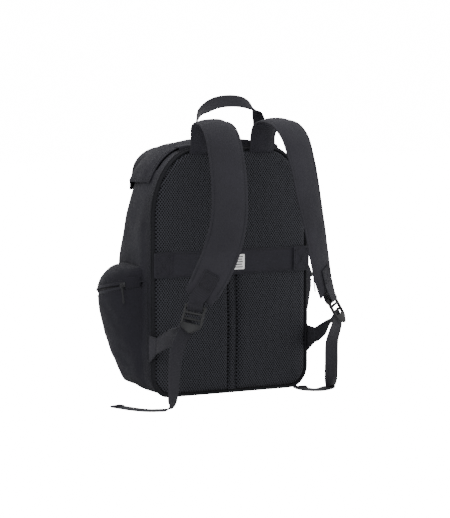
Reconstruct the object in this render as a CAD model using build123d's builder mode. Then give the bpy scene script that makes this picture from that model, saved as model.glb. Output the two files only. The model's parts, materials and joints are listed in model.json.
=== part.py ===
from build123d import *
import math
import os

# School backpack with a hooded lid, two bellows side pockets, padded shoulder straps
# and a trolley band across a mesh back. Millimetres. Origin: middle of the flat base.
# +X is the right hand of someone looking at the back panel, the back panel faces -Y,
# +Z is up.

os.makedirs("parts", exist_ok=True)

# Overall sizes
bag_width = 300.0
bag_height = 420.0
bag_depth = 150.0

# Body shape
shoulder_flat = 140.0
shoulder_drop = 120.0
base_corner = 38.0
front_corner = 42.0
wall = 3.0
base_thick = 14.0
mouth_height = bag_height - 35
belly_height = 215.0
front_lean = 42.0
gap = 0.4

# Back panel
pad_thick = 8.0
border_width = 10.0
border_thick = 5.0
band_height = 43.0
band_bottom = 204.0
band_thick = 2.4
patch_width = 20.0
label_size = 26.0
label_thick = 0.8
label_x = 8.0
seam_width = 14.0
sleeve_gap = 20.0
sleeve_height = bag_height - 130
sleeve_width = 250.0
sleeve_thick = 2.0

# Hooded lid
lid_gap = 3.0
lid_thick = 3.0
lid_crown = 9.0
lid_side = bag_height - 57
tongue_bottom = bag_height - 135
tongue_width = 210.0
lid_rear = -50.0
yoke_width = 190.0
snap_radius = 9.0
snap_thick = 1.3
snap_height = bag_height - 120

# Side pockets
pocket_half = 62.0
pocket_y = 13.0
pocket_bulge = 50.0
pocket_wall = 2.5
zip_height = 179.0
zip_slope = 14.0
zip_half = 4.0
pocket_top = 40.0
pocket_foot = 168.0
pocket_ground = 14.0

# Front pocket
front_pocket_width = 200.0
front_pocket_bottom = 26.0
front_pocket_top = 205.0
front_pocket_depth = 22.0
front_zip_height = 178.0
front_zip_side = 80.0

# Zip hardware
tooth_proud = 1.2
tooth_half = 2.2
slider_long = 11.0
slider_wide = 9.0
slider_thick = 4.0
puller_long = 34.0
puller_wide = 4.0
puller_thick = 2.0
puller_head = 0.8

# Shoulder straps
strap_width = 60.0
strap_end_width = 50.0
strap_root_width = 48.0
strap_thick = 14.0
strap_root_x = 57.0
strap_end_inset = 29.0
strap_end_height = 182.0
strap_splay = 14.0
web_width = 26.0
web_thick = 1.8

# Ladder lock
lock_width = 36.0
lock_length = 38.0
lock_thick = 5.0
lock_bar = 2.2
lock_window = 28.0
lock_tab = 9.0
lock_drop = 14.0
lock_slot = 6.0
lock_shoulder = 12.0
loop_gap = 1.8

# Carry handle
handle_half = 66.0
handle_top = bag_height + 89
handle_knee = bag_height + 30
handle_width = 23.0
handle_thick = 2.6
handle_fold = bag_height + 25

back_y = -bag_depth / 2
front_y = bag_depth / 2
half_w = bag_width / 2
flat_half = shoulder_flat / 2
band_top = band_bottom + band_height
lid_offset = lid_gap + lid_thick


def arch_outline(grow, crown):
    """Arched outline of the bag seen from behind, grown outwards by a margin."""
    side = half_w + grow
    top = bag_height + grow
    spring = bag_height - shoulder_drop
    corner = base_corner + grow
    foot = -grow
    with BuildLine() as line:
        if crown > 0:
            ThreePointArc((-flat_half, top), (0, top + crown), (flat_half, top))
        else:
            Line((-flat_half, top), (flat_half, top))
        EllipticalCenterArc(
            (flat_half, spring), side - flat_half, top - spring, start_angle=0, arc_size=90
        )
        Line((side, spring), (side, foot + corner))
        RadiusArc((side, foot + corner), (side - corner, foot), corner)
        Line((side - corner, foot), (corner - side, foot))
        RadiusArc((corner - side, foot), (-side, foot + corner), corner)
        Line((-side, foot + corner), (-side, spring))
        EllipticalCenterArc(
            (-flat_half, spring), side - flat_half, top - spring, start_angle=90, arc_size=90
        )
    return line.line


def side_profile(grow):
    """Side view of the bag, Y across and Z up: upright back, belly, leaning front."""
    low = -grow
    rear = back_y - grow
    front = front_y + grow
    top = bag_height + 60
    lean = front - front_lean
    with BuildLine() as line:
        Line((rear, top), (rear, low))
        Line((rear, low), (front, low))
        Line((front, low), (front, belly_height))
        Spline(
            (front, belly_height),
            (front - front_lean * 0.42, belly_height + 88),
            (lean, mouth_height),
            tangents=((0, 1), (-0.18, 1)),
        )
        Line((lean, mouth_height), (lean - 12, top))
        Line((lean - 12, top), (rear, top))
    return line.line


def plan_outline(grow):
    """Plan view of the bag, square at the back and rounded at the two front corners."""
    side = half_w + grow
    rear = back_y - grow
    front = front_y + grow
    corner = front_corner + grow
    with BuildLine() as line:
        Line((-side, rear), (side, rear))
        Line((side, rear), (side, front - corner))
        RadiusArc((side, front - corner), (side - corner, front), -corner)
        Line((side - corner, front), (corner - side, front))
        RadiusArc((corner - side, front), (-side, front - corner), -corner)
        Line((-side, front - corner), (-side, rear))
    return line.line


def body_form(grow, crown=0.0, rounded=True):
    """Solid envelope of the bag, grown outwards by a margin."""
    with BuildPart() as form:
        with BuildSketch(Plane.XZ.offset(-bag_depth)):
            add(arch_outline(grow, crown))
            make_face()
        extrude(amount=2 * bag_depth)
        with BuildSketch(Plane.YZ.offset(-bag_width)):
            add(side_profile(grow))
            make_face()
        extrude(amount=2 * bag_width, mode=Mode.INTERSECT)
        if rounded:
            with BuildSketch(Plane.XY.offset(-50)):
                add(plan_outline(grow))
                make_face()
            extrude(amount=bag_height + 200, mode=Mode.INTERSECT)
    return form.part


def block(x0, x1, y0, y1, z0, z1):
    """Box between two corners, kept apart from any builder."""
    size = (x1 - x0, y1 - y0, z1 - z0)
    centre = ((x0 + x1) / 2, (y0 + y1) / 2, (z0 + z1) / 2)
    return Pos(*centre) * Box(*size, mode=Mode.PRIVATE)


def save(piece, name):
    """Label a finished piece and write it under its own name."""
    piece.label = name
    export_step(piece, f"parts/{name}.step")


sides = (("left", -1), ("right", 1))

# --- Main shell: base, gussets, front -----------------------------------------------
outer_form = body_form(0)
inner_form = body_form(-wall)
rear_inside = back_y + wall
front_split = half_w - front_corner

with BuildPart() as shell:
    add(outer_form)
    add(inner_form, mode=Mode.SUBTRACT)
    add(block(-200, 200, rear_inside, 200, mouth_height, 600), mode=Mode.SUBTRACT)

with BuildPart() as back_board:
    add(shell.part)
    add(block(-200, 200, back_y - 10, rear_inside, -10, 600), mode=Mode.INTERSECT)
save(back_board.part, "back_board")

with BuildPart() as top_collar:
    add(outer_form)
    add(inner_form, mode=Mode.SUBTRACT)
    zone = block(-200, 200, rear_inside, lid_rear - gap, mouth_height, 600)
    add(zone, mode=Mode.INTERSECT)
save(top_collar.part, "top_collar")

with BuildPart() as base_panel:
    add(outer_form)
    add(block(-200, 200, rear_inside, 200, -10, base_thick), mode=Mode.INTERSECT)
save(base_panel.part, "base_panel")

with BuildPart() as front_panel:
    add(shell.part)
    zone = block(-front_split, front_split, 0, 200, base_thick, mouth_height)
    add(zone, mode=Mode.INTERSECT)
save(front_panel.part, "front_panel")

for side_name, side in sides:
    low_x = min(side * front_split, side * 200)
    high_x = max(side * front_split, side * 200)
    with BuildPart() as gusset:
        add(shell.part)
        zone = block(low_x, high_x, rear_inside, 200, base_thick, mouth_height)
        add(zone, mode=Mode.INTERSECT)
    save(gusset.part, f"gusset_{side_name}")

# --- Inside: laptop sleeve ------------------------------------------------------------
sleeve_y = rear_inside + sleeve_gap
sleeve_half = sleeve_width / 2
with BuildPart() as laptop_sleeve:
    sheet = block(
        -sleeve_half, sleeve_half, sleeve_y, sleeve_y + sleeve_thick, base_thick, sleeve_height
    )
    add(sheet)
    for side in (-1, 1):
        edge = sorted((side * sleeve_half, side * (sleeve_half - sleeve_thick)))
        wall_strip = block(
            edge[0], edge[1], rear_inside, sleeve_y, base_thick, sleeve_height
        )
        add(wall_strip)
save(laptop_sleeve.part, "laptop_sleeve")

# --- Back panel: mesh pads, border, seam, trolley band, label ----------------------------
pad_face = back_y - pad_thick
with BuildPart() as pad_form:
    with BuildSketch(Plane.XZ.offset(-back_y)):
        add(arch_outline(-border_width, 0))
        make_face()
    extrude(amount=pad_thick)

with BuildPart() as back_pad_upper:
    add(pad_form.part)
    add(block(-200, 200, -200, 0, band_bottom, 600), mode=Mode.INTERSECT)
save(back_pad_upper.part, "back_pad_upper")

for side_name, side in sides:
    edge = sorted((side * seam_width / 2, side * 200))
    with BuildPart() as back_pad_lower:
        add(pad_form.part)
        zone = block(edge[0], edge[1], -200, 0, -10, band_bottom)
        add(zone, mode=Mode.INTERSECT)
    save(back_pad_lower.part, f"back_pad_lower_{side_name}")

with BuildPart() as centre_seam:
    add(
        block(
            -seam_width / 2,
            seam_width / 2,
            pad_face + 3,
            back_y,
            border_width,
            band_bottom,
        )
    )
save(centre_seam.part, "centre_seam")

with BuildPart() as back_border:
    with BuildSketch(Plane.XZ.offset(-back_y)):
        add(arch_outline(0, 0))
        make_face()
    extrude(amount=border_thick)
    add(pad_form.part, mode=Mode.SUBTRACT)
save(back_border.part, "back_border")

band_half = half_w - 1
band_back = pad_face
with BuildPart() as trolley_band:
    add(
        block(
            -band_half, band_half, band_back - band_thick, band_back, band_bottom, band_top
        )
    )
save(trolley_band.part, "trolley_band")

for side_name, side in sides:
    edge = sorted((side * (half_w - border_width), side * band_half))
    with BuildPart() as band_end:
        zone = block(
            edge[0], edge[1], band_back, back_y - border_thick, band_bottom, band_top
        )
        add(zone)
    save(band_end.part, f"band_end_{side_name}")

for side_name, side in sides:
    edge = sorted((side * (band_half - patch_width), side * band_half))
    patch_front = band_back - band_thick
    with BuildPart() as band_patch:
        add(
            block(
                edge[0], edge[1], patch_front - web_thick, patch_front, band_bottom, band_top
            )
        )
    save(band_patch.part, f"band_patch_{side_name}")

label_z = (band_bottom + band_top) / 2
label_back = band_back - band_thick
with BuildPart() as woven_label:
    add(
        block(
            label_x - label_size / 2,
            label_x + label_size / 2,
            label_back - label_thick,
            label_back,
            label_z - label_size / 2,
            label_z + label_size / 2,
        )
    )
save(woven_label.part, "woven_label")

# --- Hooded lid and its yoke ---------------------------------------------------------------
lid_outer = body_form(lid_offset, lid_crown, rounded=False)
lid_inner = body_form(lid_gap, lid_crown, rounded=False)
tongue_half = tongue_width / 2

with BuildPart() as lid_shell:
    add(lid_outer)
    add(lid_inner, mode=Mode.SUBTRACT)

with BuildPart() as lid:
    add(lid_shell.part)
    with BuildSketch(Plane.YZ.offset(-bag_width)):
        with BuildLine():
            Polyline(
                (lid_rear, 600),
                (lid_rear, lid_side),
                (front_y - front_lean, lid_side),
                (front_y - front_lean, tongue_bottom),
                (200, tongue_bottom),
                (200, 600),
                close=True,
            )
        make_face()
    extrude(amount=2 * bag_width, mode=Mode.INTERSECT)
    for side in (-1, 1):
        edge = sorted((side * tongue_half, side * 300))
        trim = block(edge[0], edge[1], -100, 200, 0, lid_side)
        add(trim, mode=Mode.SUBTRACT)
save(lid.part, "lid")

with BuildPart() as top_yoke:
    add(lid_outer)
    zone = block(
        -yoke_width / 2, yoke_width / 2, back_y, lid_rear - gap, bag_height, 600
    )
    add(zone, mode=Mode.INTERSECT)
save(top_yoke.part, "top_yoke")

# Magnetic snap: one disc sewn to the front, one to the inner face of the tongue
with BuildPart() as snap_post:
    with BuildSketch(Plane.XZ):
        with Locations((0, snap_height)):
            Circle(snap_radius)
    extrude(amount=-bag_depth)

with BuildPart() as snap_base:
    add(body_form(snap_thick, 0, rounded=False))
    add(snap_post.part, mode=Mode.INTERSECT)
    add(outer_form, mode=Mode.SUBTRACT)
save(snap_base.part, "snap_base")

with BuildPart() as snap_cap:
    add(lid_inner)
    add(snap_post.part, mode=Mode.INTERSECT)
    add(body_form(snap_thick + gap, 0, rounded=False), mode=Mode.SUBTRACT)
save(snap_cap.part, "snap_cap")

# --- Side pockets with a slanted, arched zip ---------------------------------------------------
gusset_x = half_w + gap
slope = math.radians(zip_slope)
zip_normal = (0, math.sin(slope), math.cos(slope))
zip_radius = (pocket_half**2 + pocket_bulge**2) / (2 * pocket_bulge)
zip_centre_x = gusset_x + pocket_bulge - zip_radius
square_above = 12.0
square_below = puller_long + 6.0
pocket_sections = (
    (-pocket_foot, 0.16),
    (-0.62 * pocket_foot, 0.52),
    (-0.24 * pocket_foot, 0.86),
    (0.0, 1.0),
    (0.55 * pocket_top, 0.72),
    (pocket_top, 0.1),
)


def slanted_plane(height):
    """Plane of one pocket section, parallel to the zip, X out and local Y forward."""
    square = max(min(height, square_above), -square_below)
    origin = (0, pocket_y + square * math.tan(slope), zip_height + height)
    return Plane(origin=origin, x_dir=(1, 0, 0), z_dir=zip_normal)


def pocket_form(side, inset):
    """Bulging side pocket lofted through arched sections, shrunk by a margin."""
    half = pocket_half - inset
    foot = side * gusset_x
    with BuildPart() as form:
        for height, share in pocket_sections:
            bulge = side * max(pocket_bulge * share - inset, 1.0)
            level = height - math.copysign(inset, height) if abs(height) > 1 else 0
            with BuildSketch(slanted_plane(level)):
                with BuildLine():
                    ThreePointArc((foot, -half), (foot + bulge, 0), (foot, half))
                    Line((foot, half), (foot, -half))
                make_face()
        loft()
        ground = block(-400, 400, -200, 200, pocket_ground + inset, 500)
        add(ground, mode=Mode.INTERSECT)
    return form.part


def zip_slab(low, high):
    """Slanted slab between two heights above the zip."""
    with BuildPart(mode=Mode.PRIVATE) as slab:
        with BuildSketch(slanted_plane(low)):
            Rectangle(600, 400)
        extrude(amount=(high - low) * math.cos(slope))
    return slab.part


for side_name, side in sides:
    pocket_outer = pocket_form(side, 0)
    pocket_inner = pocket_form(side, pocket_wall)

    with BuildPart() as pocket_shell:
        add(pocket_outer)
        add(pocket_inner, mode=Mode.SUBTRACT)

    with BuildPart() as side_pocket:
        add(pocket_shell.part)
        add(zip_slab(-300, -zip_half), mode=Mode.INTERSECT)
    save(side_pocket.part, f"side_pocket_{side_name}")

    with BuildPart() as pocket_hood:
        add(pocket_shell.part)
        add(zip_slab(zip_half, 200), mode=Mode.INTERSECT)
    save(pocket_hood.part, f"pocket_hood_{side_name}")

    with BuildPart() as pocket_zip:
        add(pocket_shell.part)
        add(zip_slab(-zip_half, zip_half), mode=Mode.INTERSECT)
        with BuildSketch(slanted_plane(-tooth_half)):
            with Locations((side * zip_centre_x, 0)):
                Circle(zip_radius + tooth_proud)
                Circle(zip_radius - 0.5, mode=Mode.SUBTRACT)
            with Locations((side * (gusset_x - 100), 0)):
                Rectangle(200, 300, mode=Mode.SUBTRACT)
        extrude(amount=2 * tooth_half)
    save(pocket_zip.part, f"pocket_zip_{side_name}")

    # The slider rides on the coil near its back end and turns about the arc's centre
    start = math.radians(-46)
    radius = zip_radius + tooth_proud + gap + slider_thick / 2
    turn = Plane(
        origin=slanted_plane(0).from_local_coords(
            (
                side * (zip_centre_x + radius * math.cos(start)),
                radius * math.sin(start),
                0,
            )
        ),
        x_dir=slanted_plane(0).x_dir * (side * math.cos(start))
        + slanted_plane(0).y_dir * math.sin(start),
        z_dir=zip_normal,
    )
    with BuildPart() as zip_slider:
        with BuildSketch(turn.offset(-slider_wide / 2)):
            RectangleRounded(slider_thick, slider_long, 1.4)
        extrude(amount=slider_wide)
    save(zip_slider.part, f"zip_slider_{side_name}")

    puller_face = slider_thick / 2 + gap + puller_thick / 2
    with BuildPart() as zip_puller:
        with BuildSketch(turn.offset(-puller_long)):
            with Locations((puller_face, 0)):
                RectangleRounded(puller_thick, puller_wide, 0.9)
        extrude(amount=puller_long + puller_head)
    save(zip_puller.part, f"zip_puller_{side_name}")

# --- Front pocket ---------------------------------------------------------------------------------
fp_half = front_pocket_width / 2
fp_back = front_y + gap
fp_front = fp_back + front_pocket_depth


def front_pocket_form(inset):
    """Rounded pillow-box on the front, shrunk by a margin."""
    high = front_pocket_top - inset
    low = front_pocket_bottom + inset
    with BuildPart() as form:
        with BuildSketch(Plane.XZ.offset(-fp_back)):
            with Locations((0, (high + low) / 2)):
                RectangleRounded(2 * (fp_half - inset), high - low, 22)
        extrude(amount=-(front_pocket_depth - inset))
        fillet(form.faces().sort_by(Axis.Y)[-1].edges(), 10)
    return form.part


with BuildPart() as front_pocket_shell:
    add(front_pocket_form(0))
    add(front_pocket_form(pocket_wall), mode=Mode.SUBTRACT)

front_zip_low = front_zip_height - zip_half
front_zip_high = front_zip_height + zip_half
with BuildPart() as front_pocket:
    add(front_pocket_shell.part)
    add(block(-200, 200, 0, 200, 0, front_zip_low), mode=Mode.INTERSECT)
save(front_pocket.part, "front_pocket")

with BuildPart() as front_pocket_hood:
    add(front_pocket_shell.part)
    add(block(-200, 200, 0, 200, front_zip_high, 400), mode=Mode.INTERSECT)
save(front_pocket_hood.part, "front_pocket_hood")

with BuildPart() as front_zip:
    add(front_pocket_shell.part)
    add(block(-200, 200, 0, 200, front_zip_low, front_zip_high), mode=Mode.INTERSECT)
    coil = block(
        -front_zip_side - slider_long / 2,
        front_zip_side + slider_long / 2,
        fp_front,
        fp_front + tooth_proud,
        front_zip_height - tooth_half,
        front_zip_height + tooth_half,
    )
    add(coil)
save(front_zip.part, "front_zip")

slider_y = fp_front + tooth_proud + gap + slider_thick / 2
front_slider_plane = Plane(
    origin=(-front_zip_side, slider_y, front_zip_height - slider_wide / 2),
    x_dir=(0, 1, 0),
    z_dir=(0, 0, 1),
)
with BuildPart() as front_slider:
    with BuildSketch(front_slider_plane):
        RectangleRounded(slider_thick, slider_long, 1.4)
    extrude(amount=slider_wide)
save(front_slider.part, "front_slider")

with BuildPart() as front_puller:
    puller_y = slider_y + slider_thick / 2 + gap + puller_thick / 2
    with BuildSketch(Plane.XY.offset(front_zip_height - puller_long)):
        with Locations((-front_zip_side, puller_y)):
            RectangleRounded(puller_wide, puller_thick, 0.9)
    extrude(amount=puller_long + puller_head)
save(front_puller.part, "front_puller")

# --- Carry handle ---------------------------------------------------------------------------------
handle_face = back_y - gap
leg_in = handle_half - handle_width


def handle_outline(low):
    """Flat arched webbing loop standing on the top seam, down to a given height."""
    with BuildLine() as line:
        Line((-handle_half, low), (-handle_half, handle_knee))
        Spline(
            (-handle_half, handle_knee),
            (0, handle_top),
            (handle_half, handle_knee),
            tangents=((0, 1.6), (0, -1.6)),
        )
        Line((handle_half, handle_knee), (handle_half, low))
        Line((handle_half, low), (leg_in, low))
        Line((leg_in, low), (leg_in, handle_knee))
        Spline(
            (leg_in, handle_knee),
            (0, handle_top - handle_width),
            (-leg_in, handle_knee),
            tangents=((0, 1.2), (0, -1.2)),
        )
        Line((-leg_in, handle_knee), (-leg_in, low))
        Line((-leg_in, low), (-handle_half, low))
    return line.line


with BuildPart() as carry_handle:
    with BuildSketch(Plane.XZ.offset(-handle_face)):
        add(handle_outline(handle_fold))
        make_face()
    extrude(amount=handle_thick)
save(carry_handle.part, "carry_handle")

handle_seam = bag_height + 1
for side_name, side in sides:
    edge = sorted((side * leg_in, side * handle_half))
    with BuildPart() as handle_tab:
        zone = block(
            edge[0],
            edge[1],
            handle_face - handle_thick,
            handle_face,
            handle_seam,
            handle_fold - gap,
        )
        add(zone)
    save(handle_tab.part, f"handle_tab_{side_name}")

# --- Shoulder straps ------------------------------------------------------------------------------
strap_root_y = handle_face - handle_thick - gap - strap_thick / 2
# Over the shoulder: outward share, away from the back, above the top seam, width, twist
strap_crown = (
    (0.0, 0, 2, strap_root_width, 0.0),
    (0.0, 1, 18, strap_root_width, 0.0),
    (0.01562, 9, 35, 52, 0.1),
    (0.04688, 26, 43, 56, 0.25),
    (0.07812, 48, 44, 58, 0.4),
    (0.125, 72, 37, strap_width, 0.6),
    (0.17188, 94, 18, strap_width, 0.8),
)
# Down the back: outward share, away from the back, share of the drop, width, twist
strap_fall = (
    (0.20312, 109, 0.05042, strap_width, 1.0),
    (0.23438, 121, 0.19328, strap_width, 1.2),
    (0.29688, 131, 0.38655, strap_width, 1.5),
    (0.40625, 134, 0.54622, strap_width, 1.9),
    (0.57812, 128, 0.72269, strap_width, 2.2),
    (0.78125, 118, 0.87395, 58, 2.4),
    (1.0, 107, 1.0, strap_end_width, 2.5),
)
strap_drop = bag_height - strap_end_height
strap_spread = half_w - strap_end_inset - strap_root_x
strap_path = [
    (strap_root_x + out * strap_spread, strap_root_y - away, bag_height + rise, wide, twist)
    for out, away, rise, wide, twist in strap_crown
] + [
    (strap_root_x + out * strap_spread, strap_root_y - away, bag_height - fall * strap_drop, wide, twist)
    for out, away, fall, wide, twist in strap_fall
]


def strap_frame(side, index, path):
    """Plane across a strap at one station, X along its width, Y through its thickness."""
    here = Vector(side * path[index][0], path[index][1], path[index][2])
    before = path[max(index - 1, 0)]
    after = path[min(index + 1, len(path) - 1)]
    along = Vector(side * (after[0] - before[0]), after[1] - before[1], after[2] - before[2])
    along = along.normalized()
    splay = math.radians(strap_splay) * path[index][4]
    across = Vector(math.cos(splay), side * math.sin(splay), 0)
    across = (across - along * across.dot(along)).normalized()
    return Plane(origin=here, x_dir=across, z_dir=along)


def band(side, path, thickness):
    """Flat band lofted through the stations of a path."""
    with BuildPart() as piece:
        for index, station in enumerate(path):
            with BuildSketch(strap_frame(side, index, path)):
                Rectangle(station[3], thickness)
        loft(ruled=True)
    return piece.part


# Ladder lock, hung on the end of the strap pad by a webbing loop
pad_end = strap_path[-1]
lock_place = (pad_end[0] + 7.0, pad_end[1] - 3.0, pad_end[2] - lock_drop)
lock_lean = (6.5, -4.0, -lock_drop)


def lock_plane(side):
    """Plane of a ladder lock: X across, Y down along the strap, Z out of its face."""
    down = Vector(side * lock_lean[0], lock_lean[1], lock_lean[2]).normalized()
    splay = math.radians(strap_splay) * pad_end[4]
    across = Vector(math.cos(splay), side * math.sin(splay), 0)
    across = (across - down * across.dot(down)).normalized()
    origin = Vector(side * lock_place[0], lock_place[1], lock_place[2])
    return Plane(origin=origin, x_dir=across, z_dir=across.cross(down))


for side_name, side in sides:
    with BuildPart() as strap_pad:
        add(band(side, strap_path, strap_thick))
    save(strap_pad.part, f"strap_pad_{side_name}")

    frame = lock_plane(side)
    half_lock = lock_width / 2
    with BuildPart() as ladder_lock:
        with BuildSketch(frame.offset(-lock_thick / 2)):
            with BuildLine():
                Polyline(
                    (-half_lock, -lock_bar),
                    (half_lock, -lock_bar),
                    (half_lock, lock_length - lock_shoulder),
                    (half_lock - 8, lock_length),
                    (4, lock_length + lock_tab),
                    (-4, lock_length + lock_tab),
                    (8 - half_lock, lock_length),
                    (-half_lock, lock_length - lock_shoulder),
                    close=True,
                )
            make_face()
            with Locations((0, 7.2), (0, 17.6), (0, 28.0)):
                Rectangle(lock_window, lock_slot, mode=Mode.SUBTRACT)
        extrude(amount=lock_thick)
    save(ladder_lock.part, f"ladder_lock_{side_name}")

    # Webbing that leaves the pad, passes round the lock's top bar and is sewn back
    loop_in = lock_thick / 2 + loop_gap
    with BuildPart() as lock_webbing:
        with BuildSketch(frame.offset(loop_in)):
            with Locations((0, -5.5)):
                Rectangle(web_width, 13)
        extrude(amount=web_thick)
        with BuildSketch(frame.offset(-loop_in - web_thick)):
            with Locations((0, -5.5)):
                Rectangle(web_width, 13)
        extrude(amount=web_thick)
        with BuildSketch(frame.offset(-loop_in - web_thick)):
            with Locations((0, -9)):
                Rectangle(web_width, 6)
        extrude(amount=2 * (loop_in + web_thick))
        add(strap_pad.part, mode=Mode.SUBTRACT)
    save(lock_webbing.part, f"lock_webbing_{side_name}")

# --- Lower webbing: anchor tab, run to the lock, loose tail on the ground ---------------------------
tab_in = half_w + gap
tab_reach = 25 - back_y
floor_clear = 0.2
tail_foot = 1.6
tail_width = 24.0
tail_start = 26.0
tail_gap = 2.2


def ribbon(stations, width, thickness):
    """Flat webbing lofted through points, each with the direction of its width."""
    with BuildPart() as piece:
        for index, (place, lie) in enumerate(stations):
            before = Vector(*stations[max(index - 1, 0)][0])
            after = Vector(*stations[min(index + 1, len(stations) - 1)][0])
            along = (after - before).normalized()
            across = Vector(*lie)
            across = (across - along * across.dot(along)).normalized()
            with BuildSketch(Plane(origin=Vector(*place), x_dir=across, z_dir=along)):
                Rectangle(width, thickness)
        loft(ruled=True)
    return piece.part


for side_name, side in sides:
    with BuildPart() as anchor_tab:
        edge = sorted((side * tab_in, side * (tab_in + 2 * web_thick)))
        with BuildSketch(Plane.YZ.offset(edge[0])):
            with BuildLine():
                Polyline(
                    (back_y + 3, 108),
                    (back_y + 3, 60),
                    (-tab_reach, 80),
                    (-tab_reach, 106),
                    close=True,
                )
            make_face()
        extrude(amount=2 * web_thick)
    save(anchor_tab.part, f"anchor_tab_{side_name}")

    run_x = tab_in + web_thick
    webbing_run = (
        ((side * run_x, back_y - 32, 95), (0, 0.45, 0.89)),
        ((side * (run_x - 1), back_y - 50, 103), (side * 0.1, 0.42, 0.88)),
        ((side * (run_x - 4), back_y - 75, 114), (side * 0.35, 0.4, 0.8)),
        ((side * (run_x - 6), back_y - 91, 122), (side * 0.7, 0.3, 0.5)),
        ((side * (run_x - 9), back_y - 106, 131), (side * 1.0, 0.2, 0.1)),
    )
    save(ribbon(webbing_run, web_width, web_thick), f"lower_webbing_{side_name}")

# Loose tails: outward of the bag's side, away from the back panel, height, width direction
hanging = {
    "left": (
        (-2, 117, 124, (1, -0.2, 0)),
        (9, 114, 98, (1, -0.1, 0)),
        (16, 118, 62, (1, 0.2, 0)),
        (21, 123, 28, (1, 0.3, 0)),
        (23, 125, tail_foot, (1, 0.3, 0)),
    ),
    "right": (
        (-7, 114, 122, (1, 0.3, 0)),
        (3, 83, 88, (1, 0, 0)),
        (14, 63, 48, (1, -0.2, 0)),
        (24, 45, 16, (1, -0.4, 0)),
        (28, 37, tail_foot, (0.9, -0.45, 0)),
    ),
}
tail_height = floor_clear + web_thick / 2
lying = {
    "left": (
        (18, 126, tail_height, (0, 1, 0)),
        (40, 123, tail_height, (0, 1, 0)),
        (62, 115, tail_height, (0.4, 1, 0)),
        (76, 93, tail_height, (0.9, 0.7, 0)),
        (84, 71, tail_height, (1, 0.4, 0)),
        (91, 51, tail_height, (1, 0.3, 0)),
    ),
    "right": (
        (31, 35, tail_height, (-0.5, 1, 0)),
        (14, 49, tail_height, (-0.6, 1, 0)),
        (-6, 58, tail_height, (0.3, 1, 0)),
        (-20, 47, tail_height, (1, 1, 0)),
        (-24, 31, tail_height, (1, 0.2, 0)),
        (-20, 11, tail_height, (1, -0.2, 0)),
    ),
}


def placed(side, rows):
    """Stations of a loose tail, from offsets beside and behind the bag."""
    return [
        ((side * (half_w + out), back_y - away, height), lie) for out, away, height, lie in rows
    ]


for side_name, side in sides:
    frame = lock_plane(side)
    behind = lock_thick / 2 + tail_gap + web_thick / 2
    start = frame.from_local_coords((0, tail_start, behind))
    first = ((start.X, start.Y, start.Z), (frame.x_dir.X, frame.x_dir.Y, frame.x_dir.Z))
    with BuildPart() as webbing_tail:
        add(ribbon([first, *placed(side, hanging[side_name])], tail_width, web_thick))
        add(ribbon(placed(side, lying[side_name]), tail_width - 4, web_thick))
    save(webbing_tail.part, f"webbing_tail_{side_name}")
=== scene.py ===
# %% [markdown]
# # A school backpack, seen from the wearer's side
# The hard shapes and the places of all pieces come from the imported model, which is loaded
# first as a fixed frame. Each soft part is then made here in its own cell: a grid or a
# primitive is laid where the frame says, shaped, thickened and given its cloth.

# %% Load the frame
import bpy
import json
import math
from functools import partial
from mathutils import Vector, Matrix, noise


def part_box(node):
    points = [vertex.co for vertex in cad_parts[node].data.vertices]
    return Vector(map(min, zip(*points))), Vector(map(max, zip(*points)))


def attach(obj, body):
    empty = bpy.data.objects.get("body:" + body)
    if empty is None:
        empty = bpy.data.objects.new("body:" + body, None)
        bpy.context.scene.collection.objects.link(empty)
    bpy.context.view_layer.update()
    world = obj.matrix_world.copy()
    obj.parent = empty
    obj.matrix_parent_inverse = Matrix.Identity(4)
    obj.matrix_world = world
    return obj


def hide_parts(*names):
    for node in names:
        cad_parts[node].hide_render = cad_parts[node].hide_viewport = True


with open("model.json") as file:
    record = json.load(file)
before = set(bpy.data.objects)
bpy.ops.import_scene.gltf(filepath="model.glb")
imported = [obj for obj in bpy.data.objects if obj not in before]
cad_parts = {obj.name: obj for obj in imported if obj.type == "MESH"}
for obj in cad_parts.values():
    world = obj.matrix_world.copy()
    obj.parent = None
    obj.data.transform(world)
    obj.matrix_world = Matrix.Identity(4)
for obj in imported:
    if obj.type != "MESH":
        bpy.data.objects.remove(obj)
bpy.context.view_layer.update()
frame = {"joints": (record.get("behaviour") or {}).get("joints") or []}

# %% [markdown]
# ## Camera, floor and lights
# A long lens keeps the bag's upright edges nearly parallel, as in catalogue pictures. The
# camera stands to the left of the back panel and a little above it.

# %% Camera
MM = 0.001
YAW = math.radians(28)
TILT = math.radians(5.79)
CAMERA_PLACE = (-1.917, -3.662, 0.642)
LENS = 166.8
bpy.ops.object.camera_add(location=CAMERA_PLACE, rotation=(math.pi / 2 - TILT, 0, -YAW))
camera = bpy.context.object
camera.data.lens = LENS
camera.data.clip_end = 50
bpy.context.scene.camera = camera

# %% Floor and lights
bpy.ops.mesh.primitive_plane_add(size=12, location=(0, 0, 0))
floor = bpy.context.object
floor.name = "studio_floor"


def area_light(name, place, aim, size, power):
    """Soft square light at a place, turned towards an aim."""
    bpy.ops.object.light_add(type="AREA", location=place)
    lamp = bpy.context.object
    lamp.name = name
    lamp.data.size = size
    lamp.data.energy = power
    lamp.rotation_euler = (Vector(aim) - Vector(place)).to_track_quat("-Z", "Y").to_euler()
    return lamp


ROOM_WHITE = 16
middle = (0, 0, 0.25)
area_light("key_light", (-1.6, -1.9, 1.9), middle, 1.4, 40)
area_light("fill_light", (2.0, -1.6, 1.2), middle, 1.6, 30)
area_light("top_light", (0.2, 0.3, 2.3), middle, 1.6, 34)
area_light("back_light", (-0.6, 2.2, 1.5), middle, 1.6, 34)


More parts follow.
